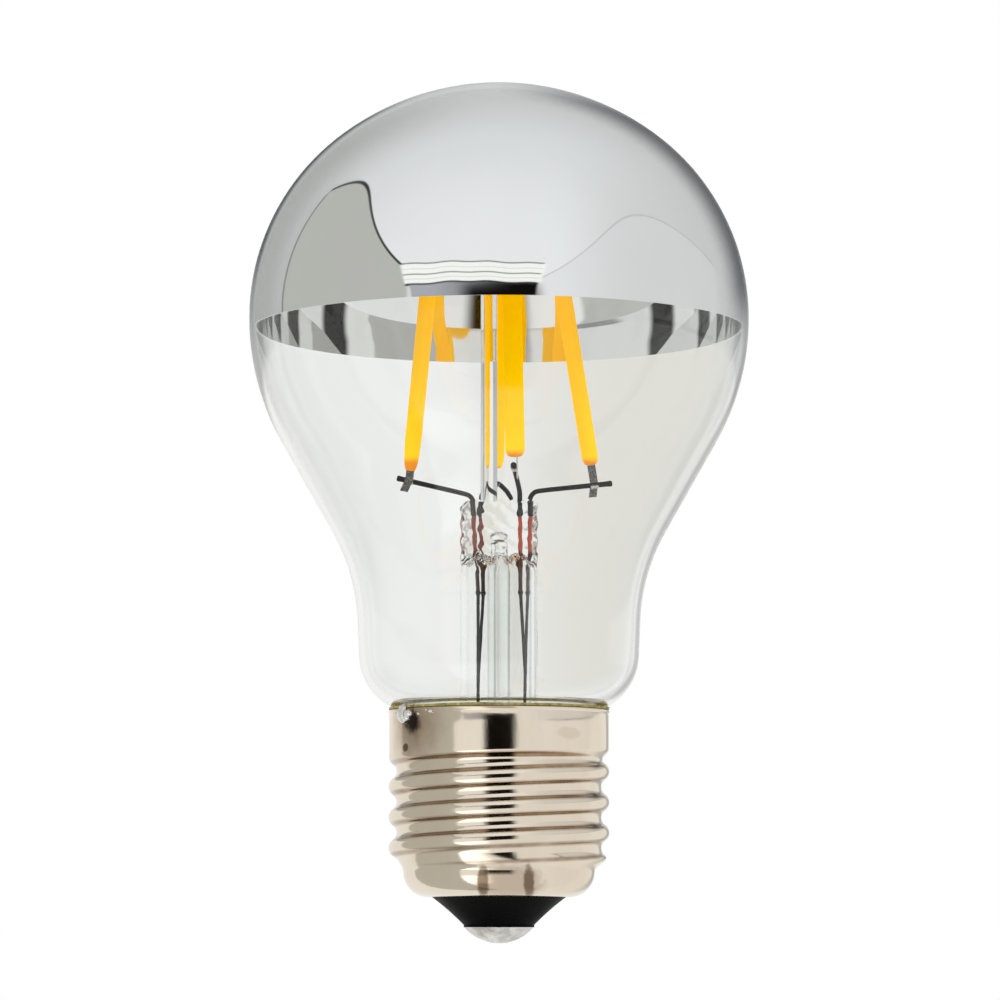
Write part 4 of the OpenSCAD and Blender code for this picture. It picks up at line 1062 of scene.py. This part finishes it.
@dataclass
class Driver:
    """The small mains driver in the cap."""

    def build(self, finishes: Finishes) -> None:
        """Dresses the driver's nodes.

        Args:
            finishes: The bulb's finishes.
        """
        for node, finish in (
            ("driver_board", finishes.board),
            ("bridge_rectifier", finishes.package),
            ("driver_chip", finishes.package),
            ("smoothing_capacitor", finishes.sleeve),
            ("fuse_resistor", finishes.resistor),
            ("sense_resistors", finishes.package),
            ("shell_lead", finishes.lead),
            ("contact_lead", finishes.lead),
        ):
            dress(node, finish)


# ---------------------------------------------------------------- the studio


@dataclass
class Studio:
    """Camera, floor, lamps and the tent round them."""

    eye: tuple[float, float, float] = (0.00012, -0.570, 0.0012)
    aim: tuple[float, float, float] = (0.00012, 0.0, 0.0529)
    lens: float = 172.0

    def build(self) -> None:
        """Sets up the whole studio."""
        self.camera()
        self.floor()
        self.lamps()
        Tent().build()
        settings = bpy.context.scene
        settings.view_settings.view_transform = "Standard"
        settings.cycles.glossy_bounces = 8
        settings.cycles.transmission_bounces = 20
        settings.cycles.max_bounces = 24
        settings.cycles.transparent_max_bounces = 24

    def camera(self) -> None:
        """Puts the camera at the photograph's viewing angle."""
        data = bpy.data.cameras.new("Camera")
        data.lens = self.lens
        data.sensor_width = 36.0
        camera = bpy.data.objects.new("Camera", data)
        camera.location = self.eye
        camera.rotation_euler = (Vector(self.aim) - Vector(self.eye)).to_track_quat("-Z", "Y").to_euler()
        bpy.context.scene.collection.objects.link(camera)
        bpy.context.scene.camera = camera

    def floor(self) -> None:
        """Lays a wide pale floor that keeps the bulb's shadow."""
        bpy.ops.object.select_all(action="DESELECT")
        bpy.ops.mesh.primitive_plane_add(size=6.0)
        floor = active()
        floor.name = "studio_floor"
        material = bpy.data.materials.new("Pale_floor")
        material.use_nodes = True
        material.node_tree.nodes.clear()
        nodes = Nodes(material.node_tree)
        path = nodes.add("ShaderNodeLightPath")
        plain = nodes.add("ShaderNodeBsdfDiffuse", {"Color": (0.8, 0.8, 0.8, 1.0)})
        past = nodes.add("ShaderNodeBsdfTransparent", {"Color": (1.0, 1.0, 1.0, 1.0)})
        shown = nodes.add("ShaderNodeBsdfDiffuse", {"Color": (0.6, 0.6, 0.6, 1.0)})
        glow = nodes.add("ShaderNodeEmission", {"Color": (1.0, 1.0, 1.0, 1.0), "Strength": 0.5})
        lit = nodes.add("ShaderNodeAddShader", {0: shown.outputs[0], 1: glow.outputs[0]})
        bent = nodes.maths("MAXIMUM", path.outputs["Is Glossy Ray"], path.outputs["Is Transmission Ray"])
        other = nodes.add("ShaderNodeMixShader", {0: bent, 1: plain.outputs[0], 2: past.outputs[0]})
        both = nodes.add("ShaderNodeMixShader", {0: path.outputs["Is Camera Ray"], 1: other.outputs[0], 2: lit.outputs[0]})
        output = nodes.add("ShaderNodeOutputMaterial")
        nodes.tree.links.new(both.outputs[0], output.inputs[0])
        floor.data.materials.append(material)

    def lamps(self) -> None:
        """Hangs two large soft lamps, one on each side."""
        for name, place, size, power in (
            ("Lamp_left", (-0.7, -0.5, 0.7), 0.9, 4.5),
            ("Lamp_right", (0.8, -0.3, 0.6), 0.9, 3.0),
        ):
            data = bpy.data.lights.new(name, "AREA")
            data.shape = "SQUARE"
            data.size = size
            data.energy = power
            lamp = bpy.data.objects.new(name, data)
            lamp.location = place
            lamp.rotation_euler = (Vector((0, 0, 0.05)) - Vector(place)).to_track_quat("-Z", "Y").to_euler()
            lamp.visible_camera = False
            lamp.visible_glossy = False
            lamp.visible_transmission = False
            bpy.context.scene.collection.objects.link(lamp)



@dataclass
class Tent:
    """Soft pale tent round the bulb, for its mirror and its glass alone: neither camera nor lamps meet it."""

    radius: float = 180.0
    middle: float = 75.0
    zenith: Colour = (0.79, 0.8, 0.815)
    toward: Colour = (0.93, 0.935, 0.95)
    away: Colour = (0.62, 0.63, 0.63)
    away_left: Colour = (0.46, 0.465, 0.46)
    table: Colour = (0.9, 0.9, 0.88)
    bright: Colour = (1.6, 1.6, 1.55)
    dim: Colour = (0.66, 0.665, 0.66)
    panel: Colour = (0.53, 0.53, 0.5)
    collar: Colour = (1.05, 1.06, 1.02)
    dark: Colour = (0.006, 0.005, 0.004)
    seam: Colour = (0.05, 0.05, 0.05)
    shade: Colour = (0.07, 0.075, 0.085)
    backdrop: Colour = (0.9, 0.9, 0.892)
    warm: Colour = (0.76, 0.745, 0.695)

    def build(self) -> None:
        """Hangs the tent and paints it by the direction from its middle."""
        self.world()
        bpy.ops.object.select_all(action="DESELECT")
        bpy.ops.mesh.primitive_uv_sphere_add(segments=128, ring_count=64, radius=self.radius * MM, location=(0, 0, self.middle * MM))
        tent = active()
        tent.name = "studio_tent"
        tent.visible_camera = tent.visible_diffuse = tent.visible_shadow = False
        material = bpy.data.materials.new("Tent_cloth")
        material.use_nodes = True
        material.node_tree.nodes.clear()
        material.cycles.emission_sampling = "NONE"
        tent.data.materials.append(material)
        self.nodes = nodes = Nodes(material.node_tree)
        way = nodes.add("ShaderNodeVectorMath", {0: nodes.add("ShaderNodeTexCoord").outputs["Object"]}, operation="NORMALIZE")
        self.x, self.y, self.z = nodes.add("ShaderNodeSeparateXYZ", {0: way.outputs[0]}).outputs
        self.turn = nodes.maths("DEGREES", nodes.maths("ARCTAN2", self.x, nodes.maths("MULTIPLY", self.y, -1.0)))
        self.rise = nodes.maths("DEGREES", nodes.maths("ARCSINE", self.z))
        colour = self.behind(self.opening(self.side_panel(self.sky())))
        glow = nodes.add("ShaderNodeEmission", {"Color": colour, "Strength": 1.0})
        output = nodes.add("ShaderNodeOutputMaterial")
        nodes.tree.links.new(glow.outputs[0], output.inputs[0])

    @staticmethod
    def world() -> None:
        """Makes the world even: white for the camera, pale for light."""
        world = bpy.data.worlds.new("Studio")
        bpy.context.scene.world = world
        world.use_nodes = True
        world.node_tree.nodes.clear()
        nodes = Nodes(world.node_tree)
        path = nodes.add("ShaderNodeLightPath")
        pale = nodes.add("ShaderNodeBackground", {"Color": (0.85, 0.85, 0.85, 1.0), "Strength": 1.0})
        white = nodes.add("ShaderNodeBackground", {"Color": (1.0, 1.0, 1.0, 1.0), "Strength": 1.0})
        both = nodes.add("ShaderNodeMixShader", {0: path.outputs["Is Camera Ray"], 1: pale.outputs[0], 2: white.outputs[0]})
        output = nodes.add("ShaderNodeOutputWorld")
        nodes.tree.links.new(both.outputs[0], output.inputs[0])

    def span(self, value: object, low: float, high: float, soft: float) -> bpy.types.NodeSocket:
        """Mask that is 1 between two values and fades out over a soft edge at each."""
        half = soft / 2
        up = self.nodes.ramp(value, low - half, low + half)
        return self.both(up, self.nodes.ramp(value, high - half, high + half, 1.0, 0.0))

    def both(self, *masks: object) -> bpy.types.NodeSocket:
        """Product of masks."""
        out = masks[0]
        for mask in masks[1:]:
            out = self.nodes.maths("MULTIPLY", out, mask)
        return out

    def sky(self) -> bpy.types.NodeSocket:
        """Tent's wall, brightest over the camera, and the pale table below a dark gap at the sides."""
        nodes = self.nodes
        colour = nodes.blend(nodes.ramp(self.y, -0.95, 0.05, 1.0, 0.0), self.zenith, self.toward)
        colour = nodes.blend(nodes.ramp(self.x, 0.35, 0.95, 0.0, 0.7), colour, self.dim)
        away = nodes.blend(nodes.ramp(self.x, -0.5, 0.0), self.away_left, self.away)
        colour = nodes.blend(nodes.ramp(self.y, -0.1, 0.7), colour, away)
        colour = nodes.blend(nodes.ramp(self.rise, -4.0, -1.0, 1.0, 0.0), colour, self.table)
        lit = self.both(self.span(self.rise, -66.0, -40.0, 10.0), self.span(self.turn, -75.0, -12.0, 14.0))
        colour = nodes.blend(lit, colour, self.bright)
        gap = self.both(self.span(self.rise, -3.8, -2.2, 0.8), self.span(nodes.maths("ABSOLUTE", self.turn), 52.0, 112.0, 20.0))
        return nodes.blend(gap, colour, self.seam)

    def side_panel(self, colour: object) -> bpy.types.NodeSocket:
        """Grey panel at the left, under a curved dark seam, and its faint twin at the right."""
        nodes = self.nodes
        for centre, height, wide, low, high, inside, line, share in (
            (-91.0, 47.5, 47.0, -118.5, -46.0, self.panel, 1.3, 1.0),
            (72.0, 37.0, 48.0, 0.0, 108.0, self.zenith, 0.7, 0.25),
        ):
            off = nodes.maths("DIVIDE", nodes.maths("SUBTRACT", self.turn, centre), wide)
            curve = nodes.maths("MULTIPLY", nodes.maths("EXPONENT", nodes.maths("MULTIPLY", nodes.maths("MULTIPLY", off, off), -1.0)), height)
            under = nodes.maths("SUBTRACT", curve, self.rise)
            turn = nodes.maths("SUBTRACT", self.turn, nodes.ramp(self.rise, -8.0, 0.0, 0.0, 7.0))
            along = self.span(turn, low, high, 2.0)
            fill = self.both(nodes.ramp(under, -0.5, 0.5), self.span(turn, low, high, 4.0))
            colour = nodes.blend(nodes.maths("MULTIPLY", fill, min(1.0, share * 1.5)), colour, inside)
            seam = self.both(self.span(under, -line / 2, line / 2, 0.8), along, share)
            colour = nodes.blend(seam, colour, self.seam)
            side = self.both(self.span(turn, low - 1.0, low + 0.6, 1.0), nodes.ramp(under, 0.0, 2.0), nodes.ramp(self.rise, -2.0, 2.0), 0.6 if share == 1.0 else 0.0)
            colour = nodes.blend(side, colour, self.seam)
        return colour

    def opening(self, colour: object) -> bpy.types.NodeSocket:
        """Gathered collar round the tent's opening, and the dark camera in it."""
        nodes = self.nodes
        slow = nodes.maths("MULTIPLY", nodes.maths("SINE", nodes.maths("MULTIPLY", self.turn, 0.11)), 0.45)
        wave = nodes.maths("MULTIPLY_ADD", nodes.maths("SINE", nodes.maths("MULTIPLY", self.turn, 0.37)), 0.22, slow)
        rise = nodes.maths("ADD", self.rise, wave)
        turn = nodes.maths("SUBTRACT", self.turn, nodes.maths("MULTIPLY", nodes.maths("ADD", self.turn, 12.0), nodes.maths("MULTIPLY_ADD", self.rise, 0.012, -0.15)))
        ring = self.both(self.span(turn, -42.0, 19.0, 2.0), self.span(rise, 8.5, 17.5, 1.0))
        colour = nodes.blend(ring, colour, self.collar)
        for level, thick, share in ((17.5, 0.6, 0.8), (15.0, 0.3, 0.3), (12.6, 0.6, 0.7), (10.5, 0.3, 0.3), (8.2, 1.0, 1.0)):
            line = self.both(self.span(turn, -42.0, 18.0, 2.0), self.span(rise, level - thick / 2, level + thick / 2, 0.5), share)
            colour = nodes.blend(line, colour, self.seam)
        inner = self.both(self.span(turn, -40.0, 18.0, 2.0), self.span(rise, -2.0, 8.0, 1.0))
        colour = nodes.blend(inner, colour, nodes.blend(nodes.ramp(self.turn, -32.0, 8.0), (0.45, 0.46, 0.5), self.dark))
        camera = self.both(self.span(self.turn, -14.5, 16.5, 9.0), self.span(self.rise, -36.0, 7.0, 5.0))
        return nodes.blend(camera, colour, self.dark)

    def behind(self, colour: object) -> bpy.types.NodeSocket:
        """Backdrop straight behind the bulb, warmer at its right, and the shaded wall round it."""
        nodes = self.nodes
        off = nodes.maths("SUBTRACT", 1.0, self.y)
        ring = self.both(nodes.ramp(off, 0.03, 0.09), nodes.ramp(off, 0.12, 0.55, 1.0, 0.0))
        above = nodes.ramp(self.z, 0.0, 0.2)
        right = self.both(ring, nodes.ramp(self.x, -0.02, 0.25), above, 0.9)
        left = self.both(ring, nodes.ramp(self.x, -0.3, 0.0, 1.0, 0.0), nodes.ramp(off, 0.06, 0.2, 1.0, 0.0), above, 0.8)
        low = self.both(ring, self.span(self.x, 0.28, 0.5, 0.1), nodes.ramp(self.z, 0.0, 0.15, 0.5, 0.0))
        rim = self.both(self.span(off, 0.035, 0.15, 0.05), nodes.ramp(self.z, 0.15, 0.25), nodes.ramp(self.x, -0.22, -0.12, 0.9, 0.0))
        for mask in (right, left, low, rim):
            colour = nodes.blend(mask, colour, self.shade)
        drop = nodes.blend(nodes.ramp(self.x, -0.1, 0.12), self.backdrop, self.warm)
        return nodes.blend(nodes.ramp(off, 0.03, 0.07, 1.0, 0.0), colour, drop)


def main() -> None:
    """Builds the bulb's sub-assemblies in order, then the studio."""
    logging.basicConfig(level=logging.INFO, format="%(name)s: %(message)s")
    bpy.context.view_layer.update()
    finishes = Finishes()
    for part in (Envelope(), ScrewCap(), Stem(), Cage(), Driver()):
        LOG.info("building %s", type(part).__name__)
        part.build(finishes)
    Studio().build()


if __name__ == "__main__":
    main()
